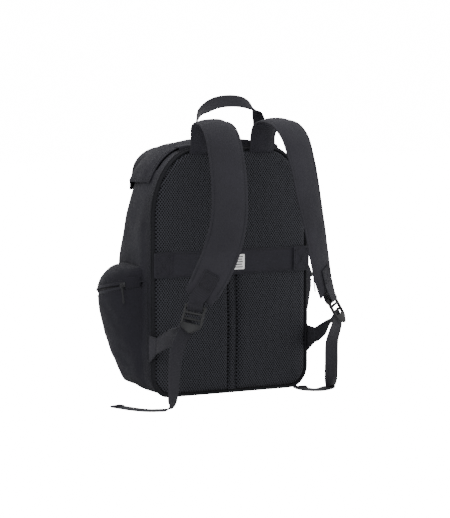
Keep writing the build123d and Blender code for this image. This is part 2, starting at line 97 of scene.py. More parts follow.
def camera_only(tree, strength):
    """Socket with a strength for rays from the camera and another for all others."""
    path = tree.nodes.new("ShaderNodeLightPath")
    choose = tree.nodes.new("ShaderNodeMapRange")
    choose.inputs["To Min"].default_value = strength[1]
    choose.inputs["To Max"].default_value = strength[0]
    tree.links.new(path.outputs["Is Camera Ray"], choose.inputs["Value"])
    return choose.outputs["Result"]


world = bpy.data.worlds.new("white_room")
bpy.context.scene.world = world
world.use_nodes = True
background = world.node_tree.nodes["Background"]
background.inputs["Color"].default_value = (1, 1, 1, 1)
strength = camera_only(world.node_tree, (ROOM_WHITE, 1.1))
world.node_tree.links.new(strength, background.inputs["Strength"])
paper = bpy.data.materials.new("white_paper")
paper.use_nodes = True
paper_shader = paper.node_tree.nodes["Principled BSDF"]
paper_shader.inputs["Base Color"].default_value = (0.9, 0.9, 0.9, 1)
paper_shader.inputs["Roughness"].default_value = 1.0
paper_shader.inputs["Specular IOR Level"].default_value = 0.0
paper_shader.inputs["Emission Color"].default_value = (1, 1, 1, 1)
paper.node_tree.links.new(
    camera_only(paper.node_tree, (ROOM_WHITE, 0)), paper_shader.inputs["Emission Strength"]
)
floor.data.materials.append(paper)

# %% [markdown]
# ## Cloth finishes
# Real pack cloth is never one flat grey: threads cross, some catch the light, and the dye
# varies. One node group makes that weave from Object coordinates, at a thread size in
# metres, and gives a light-and-dark mask and a height. Each cloth uses it with its own values.


# %% Node helpers
def add_node(tree, kind, values=None, links=None):
    """Shader node with values set and sockets linked, both by the input's label."""
    node = tree.nodes.new(f"ShaderNode{kind}")
    for label, value in (values or {}).items():
        node.inputs[label].default_value = value
    for label, socket in (links or {}).items():
        tree.links.new(socket, node.inputs[label])
    return node


def new_group(name, inputs):
    """Pattern group with float inputs and a Vector: group, its inputs, the Vector's parts."""
    group = bpy.data.node_groups.new(name, "ShaderNodeTree")
    for label, value in inputs.items():
        socket = group.interface.new_socket(label, in_out="INPUT", socket_type="NodeSocketFloat")
        socket.default_value = value
    vector = group.interface.new_socket("Vector", in_out="INPUT", socket_type="NodeSocketVector")
    vector.default_value = (0, 0, 0)
    for label in ("Height", "Tone"):
        group.interface.new_socket(label, in_out="OUTPUT", socket_type="NodeSocketFloat")
    given = group.nodes.new("NodeGroupInput").outputs
    return group, given, add_node(group, "SeparateXYZ", links={0: given["Vector"]}).outputs


def close_group(group, height, tone):
    """Link a pattern group's two results to its output."""
    end = group.nodes.new("NodeGroupOutput")
    group.links.new(height, end.inputs["Height"])
    group.links.new(tone, end.inputs["Tone"])


def math_node(tree, operation, *values):
    """Math node with sockets or numbers as its inputs; returns its output."""
    node = tree.nodes.new("ShaderNodeMath")
    node.operation = operation
    for socket, value in zip(node.inputs, values):
        if isinstance(value, (int, float)):
            socket.default_value = value
        else:
            tree.links.new(value, socket)
    return node.outputs[0]


def wave_of(tree, coordinate, length):
    """Sine of a coordinate with the given wave length, a socket or a number, in metres."""
    turns = math_node(tree, "DIVIDE", coordinate, length)
    return math_node(tree, "SINE", math_node(tree, "MULTIPLY", turns, 2 * math.pi))


# %% Weave group
weave, given, axis = new_group("plain_weave", {"Thread": 0.0009, "Melange": 0.5})
calc = partial(math_node, weave)
warp = wave_of(weave, calc("ADD", axis[0], axis[1]), given["Thread"])
weft = wave_of(weave, axis[2], given["Thread"])
crossing = calc("MULTIPLY", warp, weft)
spot = {"Vector": given["Vector"]}
yarn = add_node(weave, "TexNoise", {"Scale": 900, "Detail": 3}, spot).outputs["Fac"]
cloud = add_node(weave, "TexNoise", {"Scale": 14, "Detail": 4}, spot).outputs["Fac"]
speckle = calc("MULTIPLY", calc("SUBTRACT", yarn, 0.5), given["Melange"])
patches = calc("MULTIPLY", calc("SUBTRACT", cloud, 0.5), 0.5)
# The crossing term lightens the raised thread crossings: a painted highlight.
tone = calc("ADD", calc("MULTIPLY", crossing, 0.16), 0.5)
tone = calc("ADD", calc("ADD", tone, speckle), patches)
close_group(weave, calc("ADD", crossing, calc("MULTIPLY", speckle, 1.5)), tone)

# %% [markdown]
# Air mesh is a knitted face with rows of diamond holes. Two slanted waves cross, and where
# both are low there is a hole: deep, and painted near black as the shade inside it. The
# threads between keep their own dark grey.

# %% Air mesh group
cells, given, axis = new_group("diamond_mesh", {"Cell": 0.0046, "Tall": 0.0064})
calc = partial(math_node, cells)
across = calc("DIVIDE", axis[0], given["Cell"])
upward = calc("DIVIDE", axis[2], given["Tall"])
leans = [calc("MULTIPLY", calc(way, across, upward), 2 * math.pi) for way in ("ADD", "SUBTRACT")]
ridge = calc("MAXIMUM", *[calc("COSINE", lean) for lean in leans])
fine = add_node(cells, "TexNoise", {"Scale": 1200}, {"Vector": given["Vector"]}).outputs["Fac"]
ridge = calc("ADD", ridge, calc("MULTIPLY", calc("SUBTRACT", fine, 0.5), 0.22))
# The mask is near black in the holes: painted shade.
mask = add_node(cells, "MapRange", {"From Min": 0.1, "From Max": 0.95}, {"Value": ridge})
mask.interpolation_type = "SMOOTHSTEP"
close_group(cells, ridge, mask.outputs["Result"])

# %% [markdown]
# Webbing is woven as a narrow band, so its ribs follow the band. It reads the piece's own
# UV map, which is laid out in metres: U across the band and V along it.

# %% Webbing group
ribs, given, axis = new_group("webbing_ribs", {"Rib": 0.0022, "Pick": 0.0016})
calc = partial(math_node, ribs)
rib_wave = wave_of(ribs, axis[0], given["Rib"])
zigzag = calc("ADD", axis[1], calc("MULTIPLY", rib_wave, 0.0004))
relief = calc("ADD", calc("MULTIPLY", rib_wave, 0.6), wave_of(ribs, zigzag, given["Pick"]))
# Tone follows the relief: raised ribs lighter, grooves darker, painted light and shade.
close_group(ribs, relief, calc("ADD", calc("MULTIPLY", relief, 0.18), 0.5))
print("pattern groups", [group.name for group in bpy.data.node_groups])

# %% [markdown]
# Cloth and hard parts are finished alike: a tone between two colours gives the look, and a
# height raises the surface. Cloth adds a soft sheen, and hard parts differ in roughness.


# %% Finish helpers
def new_material(name, values):
    """Material, its node tree and its shader, with the shader's inputs set from values."""
    material = bpy.data.materials.new(name)
    material.use_nodes = True
    shader = material.node_tree.nodes["Principled BSDF"]
    for label, value in values.items():
        shader.inputs[label].default_value = value
    return material, material.node_tree, shader


def dress(tree, shader, tone, height, colours, ends, bump, depth):
    """Colour a shader by tone, between two colours at two ends, and raise it by height."""
    ramp = add_node(tree, "ValToRGB", links={"Fac": tone})
    for stop, colour, end in zip(ramp.color_ramp.elements, colours, ends):
        stop.color = (*colour, 1)
        stop.position = end
    tree.links.new(ramp.outputs["Color"], shader.inputs["Base Color"])
    raised = add_node(tree, "Bump", {"Strength": bump, "Distance": depth}, {"Height": height})
    tree.links.new(raised.outputs["Normal"], shader.inputs["Normal"])


# %% Cloth materials
def cloth(name, group, values, dark, light, rough, bump, depth, sheen, space="Object"):
    """Cloth material: a pattern group mixes two colours and raises the threads."""
    looks = {"Roughness": rough, "Specular IOR Level": 0.1, "Sheen Weight": sheen}
    looks.update({"Sheen Roughness": 0.45, "Sheen Tint": (0.75, 0.77, 0.85, 1)})
    material, tree, shader = new_material(name, looks)
    where = tree.nodes.new("ShaderNodeTexCoord")
    pattern = tree.nodes.new("ShaderNodeGroup")
    pattern.node_tree = group
    for label, value in values.items():
        pattern.inputs[label].default_value = value
    tree.links.new(where.outputs[space], pattern.inputs["Vector"])
    tone, height = pattern.outputs["Tone"], pattern.outputs["Height"]
    dress(tree, shader, tone, height, (dark, light), (0.15, 0.85), bump, depth)
    return material


weave_fine = {"Thread": 0.0011, "Melange": 0.55}
shell_cloth = cloth(
    "shell_cloth", weave, weave_fine, (0.0048, 0.0046, 0.0062), (0.016, 0.0155, 0.0205),
    0.84, 0.5, 0.0002, 0.02,
)
# A lighter copy of the shell cloth: painted light, the lit look of the straps put into the colour.
lit_shell_cloth = cloth(
    "lit_shell_cloth", weave, weave_fine, (0.0088, 0.0085, 0.0105), (0.027, 0.0262, 0.032),
    0.85, 0.5, 0.0002, 0.02,
)
band_cloth = cloth(
    "band_cloth", weave, {"Thread": 0.0008, "Melange": 0.3},
    (0.0085, 0.0082, 0.0108), (0.021, 0.0205, 0.0265), 0.72, 0.4, 0.00015, 0.03,
)
lining_cloth = cloth(
    "lining_cloth", weave, {"Thread": 0.0007, "Melange": 0.2},
    (0.03, 0.03, 0.034), (0.06, 0.06, 0.067), 0.75, 0.3, 0.0001, 0.03,
)
binding_cloth = cloth(
    "binding_cloth", weave, {"Thread": 0.0013, "Melange": 0.2},
    (0.0035, 0.0035, 0.0045), (0.011, 0.011, 0.0135), 0.76, 0.6, 0.0002, 0.03,
)
# The dark colour of the mesh is the painted shade in its holes.
mesh_cloth = cloth(
    "mesh_cloth", cells, {"Cell": 0.0046, "Tall": 0.0064},
    (0.0008, 0.0008, 0.0011), (0.03, 0.0305, 0.037), 0.74, 0.9, 0.0011, 0.03,
)
webbing_cloth = cloth(
    "webbing_cloth", ribs, {"Rib": 0.0024, "Pick": 0.0016},
    (0.0062, 0.006, 0.0078), (0.021, 0.0204, 0.0255), 0.66, 0.7, 0.0003, 0.03, "UV",
)
print("cloths", len([m for m in bpy.data.materials if m.name.endswith("_cloth")]))


# %% Hard materials
def plain_material(name, colour, rough, grain, bump, metal=0.0, coat=0.0):
    """Moulded or painted finish with fine grain and slightly worn, lighter patches."""
    looks = {"Metallic": metal, "Specular IOR Level": 0.2}
    looks.update({"Coat Roughness": 0.2, "Coat Weight": coat})
    material, tree, shader = new_material(name, looks)
    where = {"Vector": tree.nodes.new("ShaderNodeTexCoord").outputs["Object"]}
    worn = add_node(tree, "TexNoise", {"Scale": grain, "Detail": 5}, where).outputs["Fac"]
    colours = [[c * share for c in colour] for share in (0.75, 1.35)]
    dress(tree, shader, worn, worn, colours, (0, 1), bump, 0.0001)
    limits = {"To Min": rough - 0.08, "To Max": rough + 0.1}
    spread = add_node(tree, "MapRange", limits, {"Value": worn})
    tree.links.new(spread.outputs["Result"], shader.inputs["Roughness"])
    return material


lock_plastic = plain_material("lock_plastic", (0.0035, 0.0036, 0.0045), 0.46, 700, 0.15)
coil_plastic = plain_material("coil_plastic", (0.007, 0.007, 0.0085), 0.45, 900, 0.2)
painted_metal = plain_material("painted_metal", (0.014, 0.014, 0.016), 0.36, 500, 0.1, 0.6, 0.2)
thread_finish = plain_material("thread_finish", (0.009, 0.0094, 0.012), 0.6, 2500, 0.4)
cord_finish = plain_material("cord_finish", (0.008, 0.008, 0.0095), 0.7, 1800, 0.8)
label_white = plain_material("label_white", (0.62, 0.62, 0.61), 0.8, 1500, 0.6)
label_grey = plain_material("label_grey", (0.06, 0.06, 0.065), 0.8, 1500, 0.6)
print("finishes", len(bpy.data.materials))

# %% [markdown]
# ## Helpers for laying cloth
# A cloth panel starts as a grid, as it would from the Add menu. A small function says where
# each point of the grid goes, from two numbers between 0 and 1. Solidify gives it
# thickness and Subdivision Surface rounds its edges, and both are applied.


# %% Mesh helpers
SIDES = ((-1, "left"), (1, "right"))


def pick_only(piece):
    """Select one object and make it active."""
    bpy.ops.object.select_all(action="DESELECT")
    piece.select_set(True)
    bpy.context.view_layer.objects.active = piece


def apply_modifiers(piece):
    """Apply every modifier of a piece, first to last."""
    pick_only(piece)
    for modifier in list(piece.modifiers):
        bpy.ops.object.modifier_apply(modifier=modifier.name)


def shade(piece, angle=40):
    """Smooth shading with sharp edges above an angle."""
    pick_only(piece)
    bpy.ops.object.shade_smooth_by_angle(angle=math.radians(angle))


def settle(piece):
    """Put the object's origin at the world's and keep its place in its mesh."""
    pick_only(piece)
    bpy.ops.object.transform_apply(location=True, rotation=True, scale=True)


def in_edit_mode(piece, step):
    """Run one step in edit mode, with all of a piece selected."""
    pick_only(piece)
    bpy.ops.object.mode_set(mode="EDIT")
    bpy.ops.mesh.select_all(action="SELECT")
    step()
    bpy.ops.object.mode_set(mode="OBJECT")


def join_all(pieces, name):
    """Join pieces into one and name it."""
    bpy.ops.object.select_all(action="DESELECT")
    for piece in pieces:
        piece.select_set(True)
    bpy.context.view_layer.objects.active = pieces[0]
    bpy.ops.object.join()
    pieces[0].name = name
    return pieces[0]


def add_piece(name, data):
    """Put a mesh or a curve into the scene as the active object."""
    piece = bpy.data.objects.new(name, data)
    bpy.context.collection.objects.link(piece)
    pick_only(piece)
    return piece


def add_mesh(name, vertices, faces):
    """Piece from lists of vertices and faces."""
    mesh = bpy.data.meshes.new(name)
    mesh.from_pydata(vertices, [], faces)
    return add_piece(name, mesh)


def round_edges(piece, width, segments, limit):
    """Bevel the edges of a piece and apply all its modifiers."""
    cut = piece.modifiers.new("round", "BEVEL")
    cut.width = width
    cut.segments = segments
    cut.limit_method = limit
    apply_modifiers(piece)


def rounded_block(size, round_by, segments, matrix):
    """Bevelled block, its size and rounding in millimetres, moved by a matrix."""
    bpy.ops.object.select_all(action="DESELECT")
    bpy.ops.mesh.primitive_cube_add(size=1)
    block = bpy.context.object
    block.scale = [s * MM for s in size]
    settle(block)
    round_edges(block, round_by * MM, segments, "NONE")
    block.matrix_world = matrix
    settle(block)
    return block


def set_uv(piece, place):
    """Write a UV map from each grid point's two numbers through a function."""
    layer = piece.data.uv_layers.active or piece.data.uv_layers.new()
    for loop in layer.data:
        loop.uv = place(*loop.uv)


def lay_grid(name, across, along, place, uv=None):
    """Grid whose points are moved by place(u, v), both from 0 to 1."""
    bpy.ops.object.select_all(action="DESELECT")
    bpy.ops.mesh.primitive_grid_add(x_subdivisions=across, y_subdivisions=along, size=1)
    piece = bpy.context.object
    piece.name = name
    if uv:
        set_uv(piece, uv)
    for point in piece.data.vertices:
        point.co = place(point.co.x + 0.5, point.co.y + 0.5)
    return piece


def face_outward(piece, away_from):
    """Turn all faces if most of them look towards a point inside the bag."""
    centre = Vector(away_from)
    piece.data.update()
    facing = sum((f.center - centre).dot(f.normal) * f.area for f in piece.data.polygons)
    if facing < 0:
        in_edit_mode(piece, bpy.ops.mesh.flip_normals)


def thicken(piece, thickness, offset=-1.0, rounding=1):
    """Give a laid grid its thickness and rounded edges."""
    wall = piece.modifiers.new("wall", "SOLIDIFY")
    wall.thickness = thickness
    wall.offset = offset
    wall.use_even_offset = False
    if rounding:
        soft = piece.modifiers.new("rounding", "SUBSURF")
        soft.levels = rounding
        soft.render_levels = rounding
    apply_modifiers(piece)
    shade(piece, 60)


def finish(piece, material, body, slot, *nodes):
    """Give a piece its material and its body, and hide the frame nodes it stands for; the slot is
    not used.
    """
    piece.data.materials.clear()
    piece.data.materials.append(material)
    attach(piece, body)
    if nodes:
        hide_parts(*nodes)
    print(piece.name, len(piece.data.polygons), "faces")
    return piece


def lay_cloth(
    name, grid, place, inside, thickness, material, slot, *nodes,
    body="bag", fill=None, rounding=1, offset=-1.0,
):
    """Lay a cloth piece, turn it away from a point inside, thicken and finish it."""
    piece = lay_grid(name, *grid, place)
    face_outward(piece, inside)
    thicken(piece, thickness, offset, rounding)
    finish(piece, material, body, slot, *nodes)
    return piece


def ripple(place, scale, amount, seed=0.0):
    """Smooth repeatable unevenness of cloth at a place."""
    shift = Vector((seed, seed * 1.7, seed * 2.3))
    return amount * noise.noise(Vector(place) * scale + shift)


def smooth_step(value):
    """Ease from 0 to 1 between 0 and 1."""
    value = min(max(value, 0.0), 1.0)
    return value * value * (3 - 2 * value)


# %% [markdown]
# Stitches are small real threads, so that they stand up to a close look. One stitch is a
# stretched low ball, and each row is a chain of copies joined into one piece.


# %% Stitch helper
STITCH = 0.0032
STITCH_GAP = 0.0016


def walk(points, step):
    """Places and directions every step along a chain of points."""
    spots = []
    left = step / 2
    for start, end in zip(points, points[1:]):
        run = end - start
        length = run.length
        if length < 1e-7:
            continue
        while left <= length:
            spots.append((start + run * (left / length), run / length))
            left += step
        left -= length
    return spots


def stitch_rows(name, rows, slot="shell_fabric", body="bag", radius=0.00042):
    """Rows of thread stitches along chains of points."""
    vertices = []
    faces = []
    for row in rows:
        row = [Vector(p) for p in row]
        for spot, direction in walk(row, STITCH + STITCH_GAP):
            side = direction.orthogonal().normalized()
            other = direction.cross(side)
            base = len(vertices)
            for reach, size in ((-0.5, 0.25), (-0.3, 1.0), (0.3, 1.0), (0.5, 0.25)):
                for turn in range(6):
                    angle = turn * math.pi / 3
                    ring = side * math.cos(angle) + other * math.sin(angle)
                    vertices.append(spot + direction * STITCH * reach + ring * radius * size)
            for ring in range(3):
                for turn in range(6):
                    one = base + ring * 6 + turn
                    two = base + ring * 6 + (turn + 1) % 6
                    faces.append((one, two, two + 6, one + 6))
            faces.append(tuple(base + 5 - turn for turn in range(6)))
            faces.append(tuple(base + 18 + turn for turn in range(6)))
    piece = add_mesh(name, vertices, faces)
    bpy.ops.object.shade_smooth()
    return finish(piece, thread_finish, body, slot)


# %% [markdown]
# ## The form of the bag
# The arched outline, the leaning front and the rounded front corners are the pattern that
# every panel is cut to. They are read from the frame's boxes, so the cloth fits the model.

# %% Pattern of the body
board_low, board_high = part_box("back_board")
_, front_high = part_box("front_panel")
pad_low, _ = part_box("back_pad_upper")
HALF = board_high[0]
TOP = board_high[2]
REAR = board_low[1]
FRONT = front_high[1]
RIM = front_high[2]
FLAT = 70 * MM
SPRING = TOP - 120 * MM
FOOT_CORNER = 38 * MM
BELLY = 215 * MM
LEAN = 42 * MM
FRONT_CORNER = 42 * MM


def half_width(height, grow=0.0):
    """Half the width of the arched outline at a height."""
    side = HALF + grow
    top = TOP + grow
    if height > SPRING:
        share = min((height - SPRING) / (top - SPRING), 1.0)
        return FLAT + (side - FLAT) * math.sqrt(1 - share * share)
    corner = FOOT_CORNER + grow
    rise = height + grow
    if rise < corner:
        drop = corner - max(rise, 0.0)
        return side - corner + math.sqrt(max(corner * corner - drop * drop, 0.0))
    return side


def front_depth(height):
    """How far forward the front stands at a height."""
    share = max(height - BELLY, 0.0) / (RIM - BELLY)
    return FRONT - LEAN * smooth_step(share) ** 0.9


# %% [markdown]
# ## The body shell
# The sides, front and base of a soft pack are one bag of cloth that bellies out and sags a
# little. One grid runs round the bag from back seam to back seam, and up from the middle
# of the base to the rim, so that no seam splits the cloth where the real one has none.

# %% Body shell
BASE_SHARE = 0.2
BOTTOM_ROUND = 48 * MM


def plan_point(turn, height, grow=0.0):
    """Point on the rounded plan of the bag: turn 0 is the left back seam, 1 the right."""
    side = half_width(height, grow)
    front = front_depth(height) + grow
    if height < BOTTOM_ROUND:
        drop = BOTTOM_ROUND - max(height, 0.0)
        front -= BOTTOM_ROUND - math.sqrt(max(BOTTOM_ROUND**2 - drop * drop, 0.0))
    rear = REAR + 3 * MM
    corner = FRONT_CORNER + 26 * MM * (1 - smooth_step(height / 0.07))
    corner = min(corner, side * 0.6, (front - rear) * 0.6)
    straight = front - corner - rear
    arc = math.pi * corner / 2
    flat = 2 * (side - corner)
    total = 2 * straight + 2 * arc + flat
    along = min(turn, 1 - turn) * total
    if along < straight:
        x, y = -side, rear + along
    elif along < straight + arc:
        angle = (along - straight) / corner
        x = -side + corner - corner * math.cos(angle)
        y = front - corner + corner * math.sin(angle)
    else:
        x, y = -side + corner + (along - straight - arc), front
    return (x if turn <= 0.5 else -x), y


def shell_point(turn, rise):
    """Point of the body shell: rise goes from the base's middle to the rim."""
    if rise < BASE_SHARE:
        share = rise / BASE_SHARE
        x, y = plan_point(turn, 0.0)
        centre_y = (REAR + FRONT) / 2
        centre_x = x * 0.55
        x, y = centre_x + (x - centre_x) * share, centre_y + (y - centre_y) * share
        return Vector((x, y, 0.6 * MM))
    height = RIM * (rise - BASE_SHARE) / (1 - BASE_SHARE)
    x, y = plan_point(turn, height)
    up = height / RIM
    belly = math.sin(math.pi * min(up * 1.15, 1.0)) ** 0.8
    out = Vector((x * 1.2, y + 10 * MM, 0)).normalized()
    seam = smooth_step(min(turn, 1 - turn) / 0.06)
    swell = belly * 5 * MM * seam
    fold = ripple((x, y, height * 0.55), 15, 3.2 * MM, 4.0)
    fold += ripple((x, y, height), 34, 1.3 * MM, 9.0)
    slump = ripple((x * 0.6, y * 0.6, height), 26, 2.0 * MM, 2.0) * (1 - up)
    return Vector((x, y, height)) + out * (swell + (fold + slump) * seam * min(height / 0.05, 1.0))


lay_cloth(
    "body_shell", (150, 90), shell_point, (0, 0, 0.2), 2.4 * MM, shell_cloth, "shell_fabric",
    "gusset_left", "gusset_right", "front_panel", "base_panel", fill=0.5,
)

# %% [markdown]
# The mouth is closed at the back by a narrow collar that follows the arch, and the top
# seam carries a yoke: the strip that the lid, the straps and the handle are sewn to.

# %% Collar and yoke
UPPER_INSIDE = (0, 0, 0.3)


def arch_point(share, grow, low):
    """Point on the arched outline from its left side over the top to its right side."""
    side = -1 if share < 0.5 else 1
    reach = abs(share - 0.5) * 2
    spring_angle = math.asin(min(max((low - SPRING) / (TOP + grow - SPRING), -1), 1))
    bend = (math.pi / 2 - spring_angle) * 0.65 * (HALF + TOP - SPRING) / 2
    flat_share = FLAT / (FLAT + bend)
    if reach < flat_share:
        return side * FLAT * reach / flat_share, TOP + grow
    angle = math.pi / 2 - (reach - flat_share) / (1 - flat_share) * (math.pi / 2 - spring_angle)
    x = FLAT + (HALF + grow - FLAT) * math.cos(angle)
    return side * x, SPRING + (TOP + grow - SPRING) * math.sin(angle)


collar_low, collar_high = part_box("top_collar")


def collar_point(share, depth):
    """Point of the collar strip behind the lid."""
    x, z = arch_point(share, -0.5 * MM, RIM - 14 * MM)
    return Vector((x, collar_low[1] + (collar_high[1] - collar_low[1]) * depth, z))


lay_cloth(
    "mouth_collar", (80, 8), collar_point, UPPER_INSIDE, 2.4 * MM, shell_cloth, "shell_fabric",
    "top_collar",
)

yoke_low, yoke_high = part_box("top_yoke")
LID_CROWN = 9 * MM
LID_GROW = 6 * MM


def crowned(x, z):
    """Raise a point of the arch by the crown over the middle of the bag."""
    if abs(x) > FLAT:
        return z
    return z + LID_CROWN * (1 - (x / FLAT) ** 2)


def yoke_point(share, depth):
    """Point of the yoke strip over the top seam, rolled down to the back panel."""
    x = (share - 0.5) * 2 * yoke_high[0]
    _, z = arch_point(0.5 + 0.5 * x / (yoke_high[0] * 1.62), LID_GROW, RIM)
    z = crowned(x, z) - 0.6 * MM
    roll = smooth_step(1 - depth / 0.4)
    y = yoke_low[1] - 3 * MM + (yoke_high[1] - yoke_low[1] + 2.6 * MM) * depth
    return Vector((x, y, z - 14 * MM * roll**2))


lay_cloth(
    "top_yoke_cloth", (60, 16), yoke_point, UPPER_INSIDE, 2.6 * MM, shell_cloth, "shell_fabric",
    "top_yoke",
)

# %% [markdown]
# ## The hooded lid
# The lid is one curved sheet of lined cloth. It follows the arch from one side hem over the
# top to the other, rounds the two front corners, and falls down the front as a tongue. The
# hems are turned and stitched, so their edge is thick.

# %% Lid sheet
lid_low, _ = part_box("lid")
SIDE_HEM = 363 * MM
LID_FRONT = FRONT - LEAN + 12 * MM
LID_ROUND = 30 * MM
TONGUE_HALF = 104 * MM


def lid_out(x, y, z):
    """Direction out of the lid at a place."""
    return Vector((x, y * 0.6, (z - 0.33) * 1.4)).normalized()


def lid_point(share, run):
    """Point of the lid: share goes hem to hem over the top, run from rear to tongue."""
    grow = LID_GROW - 3.2 * MM * (1 - smooth_step(run / 0.16))
    x, z = arch_point(share, grow, SIDE_HEM)
    z = crowned(x, z)
    top_run = 0.52
    rear = lid_low[1]
    if run < top_run:
        step = run / top_run
        y = rear + (LID_FRONT - rear) * step
        drop = 7 * MM * smooth_step((step - 0.45) / 0.55)
        z -= drop * smooth_step((z - SIDE_HEM) / 0.03)
        sag = 3 * MM * step
        hem = smooth_step(1 - (z - SIDE_HEM) / 0.02)
        z -= sag * hem
    else:
        step = (run - top_run) / (1 - top_run)
        side = smooth_step((abs(x) - TONGUE_HALF + 6 * MM) / (22 * MM))
        hem_z = lid_low[2] + 2 * MM + (SIDE_HEM - 19 * MM - lid_low[2]) * side
        start = z - 7 * MM
        z = min(start, start + (hem_z - start) * step)
        round_top = smooth_step((start - z) / 0.03)
        up = min(max((z - BELLY) / (RIM - BELLY), 0.0), 1.0)
        y = max(LID_FRONT, front_depth(max(z, 0)) + LID_GROW + (1 + 24 * up * (1 - up)) * MM)
        y = LID_FRONT + (y - LID_FRONT) * round_top
    corner_x = abs(x) - (HALF - 8 * MM - LID_ROUND)
    corner_y = y - (LID_FRONT - LID_ROUND)
    if corner_x > 0 and corner_y > 0:
        reach = math.hypot(corner_x, corner_y)
        keep = max(corner_x, corner_y) / reach
        x = math.copysign(HALF - 8 * MM - LID_ROUND + corner_x * keep, x)
        y = LID_FRONT - LID_ROUND + corner_y * keep
    wave = ripple((x, y, z), 22, 2.2 * MM, 6.0) + ripple((x, y, z), 50, 0.8 * MM, 3.0)
    edge = smooth_step(run / 0.08)
    return Vector((x, y, z)) + lid_out(x, y, z) * wave * edge


lay_cloth(
    "lid_sheet", (130, 80), lid_point, UPPER_INSIDE, 2.8 * MM, shell_cloth, "shell_fabric", "lid",
    body="lid", fill=0.3,
)
hem_rows = [[lid_point(s, r / 80) for r in range(46)] for s in (0.014, 0.986)]
hem_rows += [[lid_point(s / 120, r) for s in range(121)] for r in (0.035, 0.985)]
lifted = [[p + lid_out(*p) * 0.3 * MM for p in row] for row in hem_rows]
stitch_rows("lid_stitching", lifted, body="lid")

# %% [markdown]
# ## The mesh back
# Three foam pads under air mesh are quilted to the back board. Each pad is thick in the
# middle and pinched where it is sewn, and the lower two meet at a stitched channel.

# %% Back pads
PAD_MARGIN = 6 * MM
band_low, band_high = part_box("trolley_band")
BAND_MIDDLE = (band_low[2] + band_high[2]) / 2
SEAM_HALF = 7 * MM


def pad_crown(x, z):
    """How far the back swells out of its plane: most above and below the band."""
    side = 1 - (x / HALF) ** 2
    above = math.exp(-(((z - 0.325) / 0.085) ** 2))
    below = math.exp(-(((z - 0.115) / 0.07) ** 2))
    return (1.5 + 4.5 * max(above, below)) * MM * max(side, 0.0)


def pad_face(x, z):
    """The mesh face's y at a place, away from any pinched edge."""
    return pad_low[1] - pad_crown(x, z)


def pinched(distance, reach=13 * MM):
    """Height share of a quilted pad at a distance from its sewn edge."""
    share = min(max(distance / reach, 0.0), 1.0)
    return math.sqrt(max(1 - (1 - share) ** 2, 0.0))


def make_pad(name, low, high, left, right, *nodes):
    """Quilted pad between two heights; left and right give its edges at a height."""

    def place(u, v):
        z = low + (high - low) * v
        start, end = left(z), right(z)
        x = start + (end - start) * u
        arch = half_width(z, -PAD_MARGIN)
        edge = min(x - start, end - x, z - low, (TOP - PAD_MARGIN) - z, arch - abs(x) + 1e-5)
        edge = min(edge, high - z) if high < TOP - 2 * PAD_MARGIN else edge
        face = pad_face(x, z)
        sewn = REAR - 1.2 * MM
        swell = ripple((x, 0, z), 30, 0.7 * MM, 5.0)
        y = sewn + (face + swell - sewn) * (0.12 + 0.88 * pinched(edge))
        return Vector((x, y, z))

    across = max(int((right(low + 0.05) - left(low + 0.05)) / 0.0032), 20)
    grid = (across, int((high - low) / 0.0034))
    inside = (0, 0.2, (low + high) / 2)
    lay_cloth(
        name, grid, place, inside, 1.6 * MM, mesh_cloth, "air_mesh", *nodes, fill=0.6, rounding=0
    )


def right_edge(z):
    """Right edge of the pads at a height."""
    return half_width(z, -PAD_MARGIN)


def left_edge(z):
    """Left edge of the pads at a height."""
    return -right_edge(z)


make_pad("mesh_pad_upper", BAND_MIDDLE, TOP - PAD_MARGIN, left_edge, right_edge, "back_pad_upper")
make_pad(
    "mesh_pad_lower_left", PAD_MARGIN, BAND_MIDDLE, left_edge, lambda z: -SEAM_HALF,
    "back_pad_lower_left",
)
make_pad(
    "mesh_pad_lower_right", PAD_MARGIN, BAND_MIDDLE, lambda z: SEAM_HALF, right_edge,
    "back_pad_lower_right",
)


def seam_point(u, v):
    """Point of the channel strip between the two lower pads."""
    x = (u - 0.5) * 2 * (SEAM_HALF + 1 * MM)
    z = PAD_MARGIN + (BAND_MIDDLE - PAD_MARGIN) * v
    lift = 2.4 * MM * math.sin(math.pi * u)
    return Vector((x, pad_face(x, z) + 5.6 * MM - lift, z))


lay_cloth(
    "centre_channel", (10, 60), seam_point, (0, 0.2, 0.1), 1.4 * MM, mesh_cloth, "air_mesh",
    "centre_seam",
)
heights = [step / 40 * BAND_MIDDLE for step in range(3, 38)]
channel_rows = [
    [Vector((x, pad_face(0, z) + 3.6 * MM, z)) for z in heights]
    for x in (1.5 * MM - SEAM_HALF, SEAM_HALF - 1.5 * MM)
]
stitch_rows("channel_stitching", channel_rows, "binding")

# %% [markdown]
# A cord of piping runs round the back panel, where the mesh, the border and the gusset are
# sewn together. It is a curve with a round section, turned into a mesh.


# %% Piping and border
def tube(name, points, radius, cyclic=False, sides=3):
    """Round cord along points, as a mesh."""
    curve = bpy.data.curves.new(name, "CURVE")
    curve.dimensions = "3D"
    curve.bevel_depth = radius
    curve.bevel_resolution = sides
    curve.use_fill_caps = not cyclic
    spline = curve.splines.new("POLY")
    spline.points.add(len(points) - 1)
    for spot, point in zip(spline.points, points):
        spot.co = (*point, 1)
    spline.use_cyclic_u = cyclic
    add_piece(name, curve)
    bpy.ops.object.convert(target="MESH")
    piece = bpy.context.object
    bpy.ops.object.shade_smooth()
    return piece


